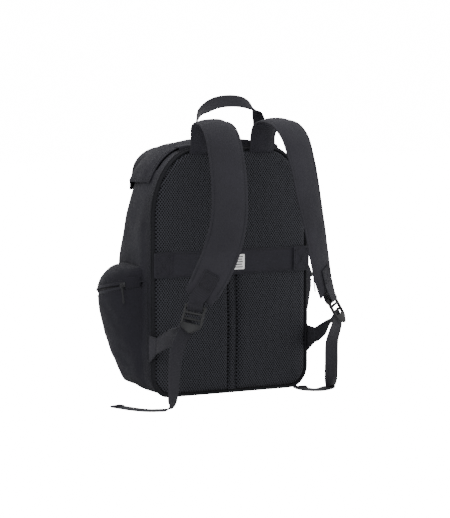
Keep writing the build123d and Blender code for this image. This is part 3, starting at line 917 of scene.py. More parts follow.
def outline_at(turn, grow):
    """Point of the closed arched outline, turn 0 to 1 from the middle of the base."""
    samples = 400
    if not hasattr(outline_at, "store"):
        outline_at.store = {}
    if grow not in outline_at.store:
        right = [Vector((0, 0, -grow))]
        for i in range(samples + 1):
            z = -grow + (TOP + 2 * grow) * (0.5 - 0.5 * math.cos(math.pi * i / samples))
            right.append(Vector((half_width(z, grow), 0, z)))
        right.append(Vector((0, 0, TOP + grow)))
        lengths = [0.0]
        for a, b in zip(right, right[1:]):
            lengths.append(lengths[-1] + (b - a).length)
        outline_at.store[grow] = (right, lengths)
    right, lengths = outline_at.store[grow]
    turn = turn % 1.0
    side = 1 if turn < 0.5 else -1
    target = (turn if turn < 0.5 else 1 - turn) * 2 * lengths[-1]
    low, high = 0, len(lengths) - 1
    while high - low > 1:
        centre = (low + high) // 2
        if lengths[centre] <= target:
            low = centre
        else:
            high = centre
    gap = lengths[high] - lengths[low]
    share = (target - lengths[low]) / gap if gap > 0 else 0
    point = right[low].lerp(right[high], share)
    return Vector((side * point.x, 0, point.z))


def border_point(turn, across):
    """Point of the flat border between the pads and the piping."""
    point = outline_at(turn, -PAD_MARGIN * across)
    lift = 3.2 * MM * math.sin(math.pi * min(max(across, 0.0), 1.0)) + 1.0 * MM
    return Vector((point.x, REAR - lift - 1.2 * MM, point.z))


lay_cloth(
    "panel_border", (260, 8), border_point, (0, 0.3, 0.2), 1.6 * MM, binding_cloth, "binding",
    "back_border", rounding=0,
)
PIPING = 1.8 * MM
piping_path = [outline_at(i / 300, 0.0) + Vector((0, REAR - 0.4 * MM, 0)) for i in range(300)]
for spot in piping_path:
    spot.z = max(spot.z, PIPING + 0.3 * MM)
piping = tube("panel_piping", piping_path, PIPING, cyclic=True)
finish(piping, binding_cloth, "bag", "binding")
seam_points = [p for p in piping_path if 0.03 < p.z < TOP - 10 * MM]
gusset_seam = [Vector((p.x * 1.004, REAR + 9 * MM, p.z)) for p in seam_points]
for side, side_name in SIDES:
    row = sorted([p for p in gusset_seam if p.x * side > 0], key=lambda p: p.z)
    row = [Vector((p.x + side * 1.2 * MM, p.y, p.z)) for p in row if p.z < RIM]
    stitch_rows(f"gusset_stitching_{side_name}", [row])

# %% [markdown]
# ## Trolley band
# The band lies flat over the pads, and its ends are folded back on themselves and sewn in a
# box. The fold makes the raised edge that shows at each end.

# %% Trolley band and label
BAND_INSIDE = (0, 0.2, 0.22)


def box_place(low, high, u, v):
    """Place in x and z at two shares of a frame box."""
    return low[0] + (high[0] - low[0]) * u, low[2] + (high[2] - low[2]) * v


def band_point(u, v):
    """Point of the band, following the swell of the pads."""
    x, z = box_place(band_low, band_high, u, v)
    sag = ripple((x, 0, z), 18, 1.2 * MM, 8.0)
    return Vector((x, pad_face(x, z) - 1.6 * MM + sag * 0.5, z + sag * 0.4))


lay_cloth(
    "trolley_band_cloth", (90, 14), band_point, BAND_INSIDE, 2.0 * MM, band_cloth,
    "band_fabric", "trolley_band",
)
band_box_rows = []
for side, side_name in SIDES:
    patch_low, patch_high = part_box(f"band_patch_{side_name}")
    inner = patch_low[0] - 12 * MM if side > 0 else patch_high[0] + 12 * MM
    outer = patch_high[0] if side > 0 else patch_low[0]

    def patch_point(u, v, inner=inner, outer=outer, low=patch_low[2], high=patch_high[2]):
        x = outer + (inner - outer) * u
        z = low + 1 * MM + (high - low - 2 * MM) * v
        roll = 1.6 * MM * smooth_step((u - 0.8) / 0.2)
        return Vector((x, pad_face(x, z) - 3.6 * MM - roll, z))

    lay_cloth(
        f"band_patch_cloth_{side_name}", (14, 16), patch_point, BAND_INSIDE, 1.8 * MM,
        band_cloth, "band_fabric", f"band_patch_{side_name}", f"band_end_{side_name}",
    )
    inset = 3.5 * MM
    left, right = sorted((inner, outer))
    corners = [
        (left + inset, patch_low[2] + inset), (right - inset, patch_low[2] + inset),
        (right - inset, patch_high[2] - inset), (left + inset, patch_high[2] - inset),
    ]
    box = [Vector((x, pad_face(x, z) - 5.0 * MM, z)) for x, z in corners + corners[:1]]
    band_box_rows += [box, [box[0], box[2]], [box[1], box[3]]]
stitch_rows("band_stitching", band_box_rows, "band_fabric")
edge_xs = [step / 25 * band_high[0] * 0.86 for step in range(-25, 26)]
edge_rows = [
    [Vector((x, pad_face(x, z) - 2.7 * MM, z)) for x in edge_xs]
    for z in (band_low[2] + 2.5 * MM, band_high[2] - 2.5 * MM)
]
stitch_rows("band_edge_stitching", edge_rows, "band_fabric")

label_low, label_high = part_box("woven_label")


def label_point(u, v):
    """Point of the woven label sewn to the band."""
    x, z = box_place(label_low, label_high, u, v)
    return Vector((x, pad_face(x, z) - 3.2 * MM, z))


lay_cloth(
    "woven_label_cloth", (14, 14), label_point, BAND_INSIDE, 0.7 * MM, label_white,
    "label_weave", "woven_label",
)
bars = []
for index in range(5):
    bpy.ops.object.select_all(action="DESELECT")
    z = label_high[2] - (4 + 4.4 * index) * MM
    wide = (18 - 3 * (index % 2)) * MM
    x = (label_low[0] + label_high[0]) / 2
    bpy.ops.mesh.primitive_cube_add(size=1, location=(x, pad_face(x, z) - 3.95 * MM, z))
    bar = bpy.context.object
    bar.scale = (wide, 0.35 * MM, 1.5 * MM)
    settle(bar)
    in_edit_mode(bar, partial(bpy.ops.mesh.bevel, offset=0.15 * MM, segments=2))
    bars.append(bar)
finish(join_all(bars, "label_bars"), label_grey, "bag", "label_weave")

# %% [markdown]
# ## Side pockets
# Each pocket is a bag that bulges from the side, under a domed hood. The zip between them
# runs on a slanted arc, and the hood's turned hem overhangs the coil like a small roof.

# %% Pocket pattern
joints = {joint["name"]: joint for joint in frame["joints"]}
slide_right = joints["zip_slide_right"]
ZIP_CENTRE = Vector(slide_right["pos_m"])
ZIP_SLOPE = math.atan2(slide_right["axis"][1], slide_right["axis"][2])
POCKET_HALF = 62 * MM
POCKET_X = HALF + 0.4 * MM
POCKET_BULGE = 50 * MM
POCKET_FOOT = 15 * MM


def zip_level(y):
    """Height of the zip at a place along the side."""
    return ZIP_CENTRE.z - (y - ZIP_CENTRE.y) * math.tan(ZIP_SLOPE)


def pocket_plan(turn, bulge):
    """Plan of the pocket wall: a flat flange from the back seam, then an arc."""
    flange = 0.12
    start_y = REAR + 4 * MM
    arc_y = ZIP_CENTRE.y - POCKET_HALF
    if turn < flange:
        share = turn / flange
        return POCKET_X + 1.0 * MM * share, start_y + (arc_y - start_y) * share
    closing = 0.09
    if turn > 1 - closing:
        share = (turn - 1 + closing) / closing
        return POCKET_X + (1 - 32 * share) * MM, ZIP_CENTRE.y + POCKET_HALF - 9 * MM * share
    share = (turn - flange) / (1 - flange - closing)
    bulge = max(bulge, 1.2 * MM)
    radius = (POCKET_HALF**2 + bulge**2) / (2 * bulge)
    half_angle = math.asin(min(POCKET_HALF / radius, 1.0))
    if bulge > POCKET_HALF:
        half_angle = math.pi - half_angle
    angle = (2 * share - 1) * half_angle
    x = POCKET_X + bulge - radius + radius * math.cos(angle)
    soft = 1.0 * MM
    return x + soft, ZIP_CENTRE.y + radius * math.sin(angle)


def pocket_point(side, turn, level):
    """Point of the pocket: level -1 at the foot, 0 at the zip, 1 at the top of the hood."""
    _, y_guess = pocket_plan(turn, POCKET_BULGE)
    at_zip = zip_level(y_guess)
    if level <= 0:
        height = at_zip + (at_zip - POCKET_FOOT) * level
        share = 1 - 0.86 * (-level) ** 1.15
        share += 0.06 * math.sin(math.pi * min(-level * 1.6, 1.0))
    else:
        front = smooth_step((y_guess - REAR) / 0.12)
        tall = (24 + 24 * front) * MM
        height = at_zip + tall * math.sin(level * math.pi / 2)
        share = max(math.cos(level * math.pi / 2), 0.0) ** 0.85
    x, y = pocket_plan(turn, POCKET_BULGE * share)
    away = min(abs(level) / 0.12, 1.0)
    edge = smooth_step(turn / 0.1) * smooth_step((1 - turn) / 0.06)
    tuck = 1 - smooth_step(height / 0.085)
    y -= max(y - ZIP_CENTRE.y, 0.0) * 0.5 * tuck
    x -= (x - POCKET_X) * 0.6 * tuck + HALF - half_width(max(height, 0.0))
    wave = ripple((x, y, height * 0.6), 24, 3.4 * MM, 3.0 + side)
    wave += ripple((x, y, height), 52, 1.2 * MM, 7.0)
    out = Vector((x - 0.1, (y - ZIP_CENTRE.y) * 0.8, 0)).normalized() * wave * away * edge
    return Vector((side * (x + out.x), y + out.y, height))


# %% Pocket cloth
HEM_STEPS = 80


def pocket_out(side, point):
    """Direction out of a side pocket at a point of it."""
    return Vector((side, (point.y - ZIP_CENTRE.y) / 0.08, 0)).normalized()


for side, side_name in SIDES:
    def bag_point(u, v, s=side):
        return pocket_point(s, u, v * 0.966 - 1)

    def hood_point(u, v, s=side):
        point = pocket_point(s, u, 0.03 + v * 0.97)
        lip = 2.6 * MM * smooth_step(1 - v / 0.1) * smooth_step(u / 0.1)
        return point + pocket_out(s, point) * lip

    for name, grid, place, height, node in (
        ("pocket_bag", (70, 60), bag_point, 0.12, "side_pocket"),
        ("pocket_hood_cloth", (70, 34), hood_point, 0.16, "pocket_hood"),
    ):
        lay_cloth(
            f"{name}_{side_name}", grid, place, (side * 0.13, ZIP_CENTRE.y, height), 2.0 * MM,
            shell_cloth, "shell_fabric", f"{node}_{side_name}", fill=0.5,
        )
    rows = []
    for level in (-0.045, 0.16):
        points = [pocket_point(side, step / HEM_STEPS, level) for step in range(8, 73)]
        rows.append([point + pocket_out(side, point) * 0.5 * MM for point in points])
    proud = Vector((side * 0.4 * MM, 0, 0))
    rows.append([pocket_point(side, 0.045, level / 40) + proud for level in range(-38, 30)])
    stitch_rows(f"pocket_stitching_{side_name}", rows)

# %% [markdown]
# A nylon coil zip is two rows of small loops that hook together, on a woven tape. The tape
# is a narrow laid strip, and the coil is one low tooth copied along the arc.


# %% Zip tape and coil
def zip_arc(side, angle, radius, lift=0.0):
    """Point on the slanted arc of a side pocket's zip."""
    local = radius * math.sin(angle)
    x = side * (ZIP_CENTRE.x + radius * math.cos(angle))
    y = ZIP_CENTRE.y + local * math.cos(ZIP_SLOPE)
    z = ZIP_CENTRE.z - local * math.sin(ZIP_SLOPE)
    return Vector((x, y, z + lift))


def coil_teeth(name, spots, width=2.1 * MM):
    """Low rounded teeth, one at each spot with its direction and its outward side."""
    vertices = []
    faces = []
    for spot, along, out in spots:
        across = along.cross(out).normalized()
        base = len(vertices)
        for reach, rise in ((-1, 0.0), (-0.75, 0.8), (0, 1.0), (0.75, 0.8), (1, 0.0)):
            for lean in (-0.32, 0.0, 0.32):
                low = 1.0 if lean == 0.0 else 0.35
                place = spot + across * width * reach + along * 1.2 * MM * lean
                vertices.append(place + out * 0.9 * MM * rise * low)
        for row in range(4):
            for column in range(2):
                one = base + row * 3 + column
                faces.append((one, one + 1, one + 4, one + 3))
        faces.append([base + corner for corner in (0, 3, 6, 9, 12, 14, 11, 8, 5, 2, 1)])
    piece = add_mesh(name, vertices, faces)
    in_edit_mode(piece, partial(bpy.ops.mesh.normals_make_consistent, inside=False))
    return finish(piece, coil_plastic, "bag", "zip_coil")


ARC_RADIUS = (POCKET_HALF**2 + POCKET_BULGE**2) / (2 * POCKET_BULGE)
TOOTH = 1.3 * MM
ARC_HALF = math.radians(74)
for side, side_name in SIDES:
    def tape_point(u, v, s=side):
        angle = (2 * u - 1) * ARC_HALF
        return zip_arc(s, angle, ARC_RADIUS + 0.2 * MM, (v - 0.5) * 15 * MM)

    lay_cloth(
        f"zip_tape_{side_name}", (70, 6), tape_point, (side * 0.13, ZIP_CENTRE.y, ZIP_CENTRE.z),
        0.9 * MM, band_cloth, "zip_coil", f"pocket_zip_{side_name}", rounding=0,
    )
    teeth = []
    count = int(2 * ARC_HALF * ARC_RADIUS / TOOTH)
    for index in range(count):
        angle = (2 * (index + 0.5) / count - 1) * ARC_HALF
        spot = zip_arc(side, angle, ARC_RADIUS + 0.5 * MM)
        ahead, behind = (zip_arc(side, angle + d, ARC_RADIUS) for d in (0.01, -0.01))
        out = zip_arc(side, angle, ARC_RADIUS + 0.01) - zip_arc(side, angle, ARC_RADIUS)
        teeth.append((spot, (ahead - behind).normalized(), out.normalized()))
    coil_teeth(f"zip_coil_{side_name}", teeth)

# %% [markdown]
# ## Shoulder straps
# A strap is a foam pad in a cloth sleeve. Its edge is a flat seam, and the foam swells
# between the two seams. The stations below are the pattern of the strap: how far out,
# back and up it runs, its width, and how far it turns away from the back.

# %% Strap pattern
ROOT_Y = REAR - 10.4 * MM
SPLAY = math.radians(14)
STATIONS = (
    (57, 5, -9, 48, 0), (57, 0, 4, 48, 0), (57, -1, 18, 48, 0), (58, -9, 35, 52, 0.1),
    (60, -26, 43, 56, 0.25), (62, -48, 44, 58, 0.4), (65, -72, 37, 60, 0.6),
    (68, -94, 18, 60, 0.8), (70, -109, -12, 60, 1.0), (72, -121, -46, 60, 1.2),
    (76, -131, -92, 60, 1.5), (83, -134, -130, 60, 1.9), (94, -128, -172, 60, 2.2),
    (107, -118, -208, 58, 2.4), (121, -107, -238, 50, 2.5),
)


def blend_row(rows, run):
    """Smooth curve through rows of numbers, run from 0 to 1."""
    place = min(max(run, 0.0), 1.0) * (len(rows) - 1)
    index = min(int(place), len(rows) - 2)
    step = place - index
    before = rows[max(index - 1, 0)]
    after = rows[min(index + 2, len(rows) - 1)]
    result = []
    for a, b, c, d in zip(before, rows[index], rows[index + 1], after):
        curve = 2 * b + (c - a) * step + (2 * a - 5 * b + 4 * c - d) * step**2
        result.append(0.5 * (curve + (3 * b - a - 3 * c + d) * step**3))
    return result


def strap_at(side, run):
    """Centre, across, outward and half width of a strap at a run from 0 to 1."""
    def centre(share):
        x, y, z, _, _ = blend_row(STATIONS, share)
        return Vector((side * x * MM, ROOT_Y + y * MM, TOP + z * MM))

    along = (centre(min(run + 0.004, 1)) - centre(max(run - 0.004, 0))).normalized()
    _, _, _, width, turn = blend_row(STATIONS, run)
    across = Vector((math.cos(SPLAY * turn), side * math.sin(SPLAY * turn), 0))
    across = (across - along * across.dot(along)).normalized()
    return centre(run), across, along.cross(across), width * MM / 2, along


STRAP_HALF = 6.6 * MM
SEAM_IN = 4.2 * MM


def strap_thickness(inset, half, run):
    """Half thickness of the strap at a distance in from its edge."""
    if inset < SEAM_IN:
        return (0.3 + 1.7 * math.sqrt(min(inset / (1.6 * MM), 1.0))) * MM
    foam = min((inset - SEAM_IN) / (half - SEAM_IN), 1.0)
    swell = 1 - (1 - foam) ** 2.6
    end = smooth_step(run / 0.05) * smooth_step((1 - run) / 0.035)
    groove = 0.9 * MM * math.exp(-(((inset - SEAM_IN) / (0.7 * MM)) ** 2))
    return 1.9 * MM + (STRAP_HALF - 1.9 * MM) * swell * (0.25 + 0.75 * end) - groove * 0.6


def strap_point(side, turn, run):
    """Point of the strap's skin: turn 0 to 0.5 over the outer face, then the inner one."""
    centre, across, outward, half, _ = strap_at(side, run)
    face = 1 if turn <= 0.5 else -1
    share = 4 * turn - 1 if turn <= 0.5 else 3 - 4 * turn
    reach = math.sin(share * math.pi / 2) if abs(share) > 0.85 else share * 0.9724 / 0.85
    inset = half * (1 - abs(reach))
    lift = strap_thickness(inset, half, run)
    body = smooth_step(inset / (9 * MM))
    place = centre + across * half * reach
    folds = ripple(place, 30, 1.5 * MM, 5.0 + side) + ripple(place, 70, 0.5 * MM, 2.0)
    inner_bend = math.exp(-(((run - 0.32) / 0.12) ** 2)) * (0.4 if face > 0 else 1.3)
    crease = inner_bend * 0.9 * MM * math.sin(run * 190)
    return place + outward * face * (lift + (folds + crease) * body * 0.7)


# %% Strap pads
def close_sleeve():
    """Merge the sleeve's long seam, then fill its two open ends."""
    bpy.ops.mesh.remove_doubles(threshold=0.02 * MM)
    bpy.ops.mesh.select_all(action="DESELECT")
    bpy.ops.mesh.select_non_manifold()
    bpy.ops.mesh.edge_face_add()
    bpy.ops.mesh.select_all(action="SELECT")
    bpy.ops.mesh.normals_make_consistent(inside=False)


for side, side_name in SIDES:
    pad = lay_grid(f"strap_sleeve_{side_name}", 92, 190, partial(strap_point, side))
    in_edit_mode(pad, close_sleeve)
    # The sleeve takes the lighter copy of the shell cloth, painted light; its inner face is set to
    # band cloth below.
    finish(pad, lit_shell_cloth, "bag", "strap_fabric", f"strap_pad_{side_name}")
    pad.data.materials.append(band_cloth)
    skin = pad.data.uv_layers.active.data
    for patch in pad.data.polygons:
        across_share = sum(skin[i].uv.x for i in patch.loop_indices) / len(patch.loop_indices)
        patch.material_index = 1 if 0.54 < across_share < 0.96 else 0
    shade(pad, 50)
    rows = []
    for edge in (-1, 1):
        row = []
        for step in range(4, 97):
            centre, across, outward, half, _ = strap_at(side, step / 100)
            reach = half - SEAM_IN
            row.append(centre + across * edge * reach + outward * (1.9 * MM))
        rows.append(row)
    stitch_rows(f"strap_stitching_{side_name}", rows, "strap_fabric")

# %% [markdown]
# ## Webbing
# Webbing is a flat woven band. It is laid along a few points, each with the direction of
# its width, and its UV map is in metres so that the ribs keep their real size.


# %% Webbing helpers
WEB_WIDTH = 25 * MM
WEB_THICK = 1.6 * MM


def band_frame(rows, run, reach):
    """Centre, run direction and width direction of a band at a run from 0 to 1."""
    values = blend_row(rows, run)
    ahead = Vector(blend_row(rows, min(run + reach, 1))[:3])
    behind = Vector(blend_row(rows, max(run - reach, 0))[:3])
    along = (ahead - behind).normalized()
    lie = Vector(values[3:])
    return Vector(values[:3]), along, (lie - along * lie.dot(along)).normalized()


def ribbon(
    name, stations, *nodes, width=WEB_WIDTH, thickness=WEB_THICK, body="bag", steps=10
):
    """Flat band through (point, width direction) stations, smoothed between them."""
    rows = [(*place, *lie) for place, lie in stations]
    count = steps * (len(rows) - 1)
    path = [Vector(blend_row(rows, i / count)[:3]) for i in range(count + 1)]
    length = sum((end - start).length for start, end in zip(path, path[1:]))

    def place(u, v):
        centre, along, lie = band_frame(rows, v, 0.005)
        edge = 1 - abs(2 * u - 1)
        curl = along.cross(lie) * 0.25 * MM * (1 - smooth_step(edge / 0.2))
        spot = centre + lie * (u - 0.5) * width + curl
        spot.z = max(spot.z, thickness)
        return spot

    piece = lay_grid(name, 12, count, place, uv=lambda u, v: (u * width, v * length))
    wall = piece.modifiers.new("wall", "SOLIDIFY")
    wall.thickness = thickness
    wall.offset = 0
    round_edges(piece, thickness * 0.3, 2, "ANGLE")
    shade(piece, 50)
    return finish(piece, webbing_cloth, body, "webbing", *nodes)


def face_rows(stations, width, inset, lift):
    """Two chains of points near the edges of a band, lifted off its face."""
    rows = [(*place, *lie) for place, lie in stations]
    count = 12 * (len(rows) - 1)
    chains = ([], [])
    for step in range(count + 1):
        centre, along, lie = band_frame(rows, step / count, 0.01)
        out = along.cross(lie) * lift
        for chain, side in zip(chains, (-1, 1)):
            chain.append(centre + lie * side * (width / 2 - inset) + out)
    return list(chains)


# %% Lock webbing, sewn with a box to the end of each pad
lock_frames = {}
for side, side_name in SIDES:
    joint = joints[f"lock_tilt_{side_name}"]
    down = Vector((side * 6.5, -4.0, -14.0)).normalized()
    across = Vector(joint["axis"])
    across = across if across.x > 0 else -across
    across = (across - down * across.dot(down)).normalized()
    lock_frames[side_name] = (Vector(joint["pos_m"]), across, down, across.cross(down))


def on_lock(side_name, across_mm, down_mm, in_mm):
    """Point in a ladder lock's own frame: across it, down it, towards the bag."""
    origin, across, down, inward = lock_frames[side_name]
    return origin + (across * across_mm + down * down_mm + inward * in_mm) * MM


for side, side_name in SIDES:
    across = lock_frames[side_name][1]
    outer = []
    for run in (0.905, 0.925, 0.945, 0.965):
        centre, over, outward, half, _ = strap_at(side, run)
        lift = strap_thickness(half, half, run) + 1.3 * MM
        outer.append((centre + outward * lift, tuple(over)))
    threaded = (
        (-8, -7.0), (-2, -5.6), (4, -5.2), (7.6, 0), (4, 5.2), (-3, 5.4), (-10, 4.0), (-20, 2.0)
    )
    loop = outer + [(on_lock(side_name, 0, *spot), tuple(across)) for spot in threaded]
    ribbon(f"lock_loop_{side_name}", loop, f"lock_webbing_{side_name}")
    rows = []
    for lift in (1.1 * MM, -1.1 * MM):
        one, two = face_rows(outer, WEB_WIDTH, 3 * MM, lift)
        cut = slice(4, len(one) - 6)
        one, two = one[cut], two[cut]
        rows += [one, two, [one[0], two[0]], [one[-1], two[-1]]]
        rows += [[one[0], two[-1]], [one[-1], two[0]]]
    stitch_rows(f"lock_box_stitching_{side_name}", rows, "webbing", radius=0.0005)

# %% [markdown]
# ## Ladder locks
# A ladder lock is a moulded frame with cross bars. The webbing is threaded over the middle
# bar, which has small teeth, and the pointed lip below is where a thumb lifts it.


# %% Ladder locks
def frame_bar(side_name, place, size, turn=0.0, round_by=0.9):
    """Bevelled bar in the lock's own frame; sizes and places in millimetres."""
    _, *directions = lock_frames[side_name]
    axes = Matrix(directions).transposed().to_4x4()
    spot = Matrix.Translation(on_lock(side_name, *place))
    return rounded_block(size, round_by, 4, spot @ axes @ Matrix.Rotation(turn, 4, "Z"))


def lip_plate(side_name):
    """Pointed lower lip of the lock, tapering in width and in thickness."""
    outline = (
        (-18, 31), (18, 31), (18, 33), (15, 38), (5, 46), (0, 47.6), (-5, 46), (-15, 38), (-18, 33)
    )
    bpy.ops.object.select_all(action="DESELECT")
    bpy.ops.mesh.primitive_circle_add(vertices=len(outline), radius=1, fill_type="NGON")
    plate = bpy.context.object
    for point, (x, y) in zip(plate.data.vertices, outline):
        lean = -0.9 - max(y - 36, 0) * 0.12
        point.co = on_lock(side_name, x, y, lean)
    settle(plate)
    wall = plate.modifiers.new("wall", "SOLIDIFY")
    wall.thickness = 3.0 * MM
    wall.offset = 0
    round_edges(plate, 1.0 * MM, 3, "ANGLE")
    return plate


for side, side_name in SIDES:
    bars = [
        frame_bar(side_name, (-16, 15, 0), (4, 34.4, 4.8)),
        frame_bar(side_name, (16, 15, 0), (4, 34.4, 4.8)),
        frame_bar(side_name, (0, 1.0, 0), (34, 6.0, 4.4)),
        frame_bar(side_name, (0, 12.4, -0.2), (32, 4.2, 4.2)),
        frame_bar(side_name, (0, 22.8, 0.4), (32, 4.2, 3.4)),
        frame_bar(side_name, (0, 31.8, 0), (34, 3.6, 4.4)),
        lip_plate(side_name),
    ]
    for tooth in range(-5, 6):
        place = (tooth * 2.4, 22.8, -1.3)
        bars.append(frame_bar(side_name, place, (1.0, 3.2, 1.4), round_by=0.35))
    lock = join_all(bars, f"ladder_lock_body_{side_name}")
    shade(lock, 45)
    finish(lock, lock_plastic, f"lock_{side_name}", "lock_plastic", f"ladder_lock_{side_name}")

# %% [markdown]
# The lower webbing comes up from the anchor tab in the side seam, behind the lock. Its
# loose tail falls to the ground, turns over and lies there, and ends in a folded hem.

# %% Lower webbing and tails
RUN_X = HALF + 2.2 * MM
for side, side_name in SIDES:
    run = (
        ((side * RUN_X, -94 * MM, 91 * MM), (0, 0.45, 0.89)),
        ((side * RUN_X, -107 * MM, 95 * MM), (0, 0.45, 0.89)),
        ((side * (RUN_X - 1 * MM), -125 * MM, 103 * MM), (side * 0.1, 0.42, 0.88)),
        ((side * (RUN_X - 4 * MM), -150 * MM, 114 * MM), (side * 0.35, 0.4, 0.8)),
        ((side * (RUN_X - 6 * MM), -166 * MM, 122 * MM), (side * 0.7, 0.3, 0.5)),
        ((side * (RUN_X - 9 * MM), -181 * MM, 131 * MM), (side * 1.0, 0.2, 0.1)),
        (on_lock(side_name, 0, 26, 8.4), tuple(v * side for v in lock_frames[side_name][1])),
    )
    ribbon(f"lower_strap_{side_name}", run, f"lower_webbing_{side_name}", steps=14)

tail_runs = {
    "left": (
        ((-148, -192, 124), (1, -0.2, 0)), ((-159, -189, 98), (1, -0.1, 0)),
        ((-166, -193, 62), (1, 0.2, 0)), ((-171, -198, 28), (1, 0.35, 0)),
        ((-176, -200, 9), (0.9, 0.6, 0)), ((-186, -199, 2.4), (0.5, 0.9, 0)),
        ((-199, -195, 1.3), (0.3, 1, 0)), ((-213, -188, 1.2), (0.5, 1, 0)),
        ((-226, -168, 1.2), (0.9, 0.7, 0)), ((-234, -146, 1.2), (1, 0.4, 0)),
        ((-241, -126, 1.2), (1, 0.3, 0)),
    ),
    "right": (
        ((143, -189, 122), (1, 0.3, 0)), ((153, -158, 88), (1, 0, 0)),
        ((164, -138, 48), (1, -0.1, 0)), ((174, -120, 18), (1, 0, 0)),
        ((180, -112, 4.5), (0.9, 0.45, 0)), ((174, -113, 1.6), (0.4, 0.9, 0)),
        ((158, -124, 1.2), (-0.5, 1, 0)), ((143, -129, 1.2), (0.3, 1, 0)),
        ((131, -121, 1.2), (1, 1, 0)), ((127, -106, 1.2), (1, 0.2, 0)),
        ((130, -87, 1.2), (1, -0.2, 0)),
    ),
}
TAIL_WIDTH = 24 * MM
for side_name, stations in tail_runs.items():
    across = lock_frames[side_name][1]
    run = [(on_lock(side_name, 0, 25, 5.2), tuple(across))]
    run += [(tuple(c * MM for c in place), lie) for place, lie in stations]
    tail = f"webbing_tail_{side_name}"
    ribbon(f"loose_tail_{side_name}", run, tail, width=TAIL_WIDTH, steps=12)
    end, lie = Vector(run[-1][0]), Vector(run[-1][1]).normalized()
    along = (end - Vector(run[-2][0])).normalized()
    hem = []
    for step in (-9, -3, 2):
        hem.append((tuple(end + along * step * MM + Vector((0, 0, 2.0 * MM))), tuple(lie)))
    ribbon(f"tail_hem_{side_name}", hem, width=TAIL_WIDTH, steps=8)
    row_at = end - along * 5 * MM + Vector((0, 0, 3.2 * MM))
    middles = [row_at + along * k * MM for k in (-2, 2)]
    bars = [[middle - lie * 10 * MM, middle + lie * 10 * MM] for middle in middles]
    stitch_rows(f"hem_stitching_{side_name}", bars, "webbing")

# %% [markdown]
# The anchor tab is a small folded wedge of pack cloth in the side seam that holds the
# lower webbing. The carry handle is a band of webbing, twisted so that its loop stands
# edge-up over the yoke.

# %% Anchor tabs
for side, side_name in SIDES:
    def tab_point(u, v, s=side):
        y = REAR + 3 * MM - u * 29 * MM
        low = (60 + 20 * u) * MM
        high = (108 - 2 * u) * MM
        return Vector((s * (HALF + 0.9 * MM), y, low + (high - low) * v))

    # The wedge takes the lighter copy of the shell cloth: painted light.
    lay_cloth(
        f"anchor_wedge_{side_name}", (18, 22), tab_point, (0, REAR, 0.08), 2.6 * MM,
        lit_shell_cloth, "shell_fabric", f"anchor_tab_{side_name}", offset=1.0,
    )
    proud = Vector((side * 2.7 * MM, 0, 0))
    rows = [[tab_point(u / 20, v) + proud for u in range(1, 20)] for v in (0.07, 0.93)]
    rows.append([tab_point(0.88, v / 20) + proud for v in range(1, 20)])
    stitch_rows(f"anchor_stitching_{side_name}", rows)

# %% Carry handle
handle_low, handle_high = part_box("carry_handle")
HANDLE_Y = (handle_low[1] + handle_high[1]) / 2
FOLD = handle_low[2]
LEG_X = handle_high[0] - 11.5 * MM
CREST = handle_high[2] - 11 * MM
handle_run = []
for x, rise, lie in (
    (-1.08, 0.0, (0.92, 0.38, 0)), (-1.19, 0.16, (0.7, 0.7, 0)), (-1.17, 0.4, (0.45, 0.85, 0.1)),
    (-1.0, 0.68, (0.3, 0.75, 0.5)), (-0.56, 0.93, (0.1, 0.6, 0.8)), (0, 1.0, (0, 0.5, 0.86)),
    (0.5, 0.92, (-0.1, 0.6, 0.8)), (0.86, 0.68, (-0.35, 0.75, 0.5)),
    (0.99, 0.4, (-0.6, 0.75, 0.2)), (1.02, 0.16, (-0.8, 0.55, 0)), (1, 0.0, (-0.92, 0.38, 0)),
):
    height = FOLD + 0.6 * MM + (CREST - FOLD) * rise
    handle_run.append(((x * LEG_X, HANDLE_Y - 0.6 * MM, height), lie))
handle_band = {"width": 22 * MM, "thickness": 2.4 * MM}
ribbon("handle_loop", handle_run, "carry_handle", body="handle", **handle_band)
for side, side_name in SIDES:
    top_x = side * LEG_X * (1.08 if side < 0 else 1)
    leg = [
        ((side * LEG_X, REAR - 1.2 * MM, TOP - 4 * MM), (1, 0.02 * side, 0)),
        ((side * LEG_X, HANDLE_Y - 0.2 * MM, TOP + 6 * MM), (1, -0.05 * side, 0)),
        ((side * LEG_X, HANDLE_Y - 0.6 * MM, TOP + 16 * MM), (0.96, -0.2 * side, 0)),
        ((top_x, HANDLE_Y - 0.6 * MM, FOLD - 0.4 * MM), (0.92, -0.38 * side, 0)),
    ]
    ribbon(f"handle_leg_{side_name}", leg, f"handle_tab_{side_name}", **handle_band)

# %% [markdown]
# ## Zip hardware
# Each slider is a small painted body: two plates joined at the nose, with a bridge on top.
# A link hangs from the bridge and carries a moulded pull. Sliders and pullers are placed
# from the axes of their joints.


# %% Sliders and pullers
def placed_box(axes, origin, place, size, round_by):
    """Bevelled block in a slider's frame: outward, along the coil, up; millimetres."""
    spot = Vector(origin) + (axes[0] * place[0] + axes[1] * place[1] + axes[2] * place[2]) * MM
    turn = Matrix(axes).transposed().to_4x4()
    return rounded_block(size, round_by, 3, Matrix.Translation(spot) @ turn)


def link_ring(axes, origin, place, long, wide, radius, name):
    """Oval wire link in a slider's frame."""
    points = []
    for turn in range(24):
        angle = turn * math.pi / 12
        along = wide / 2 * math.cos(angle)
        up = long / 2 * math.sin(angle)
        spot = Vector(origin)
        spot += (axes[0] * place[0] + axes[1] * (place[1] + along) + axes[2] * (place[2] + up)) * MM
        points.append(spot)
    return tube(name, points, radius * MM, cyclic=True)


def pull_tab(axes, origin, start, name):
    """Moulded pull: a waisted strip with a rounded end, hanging down from the link."""
    def place(u, v):
        down = start + v * 26
        if v < 0.9:
            half = 1.8 + 0.3 * math.cos(v * 2 * math.pi)
        else:
            half = 2.1 * math.sqrt(max(1 - ((v - 0.9) / 0.1) ** 2, 0.02))
        half *= min(0.55 + v * 6, 1.0)
        spot = (u - 0.5) * 2 * half
        return Vector(origin) + (axes[1] * spot - axes[2] * down) * MM

    tab = lay_grid(name, 6, 30, place)
    thicken(tab, 1.5 * MM, offset=0)
    return tab


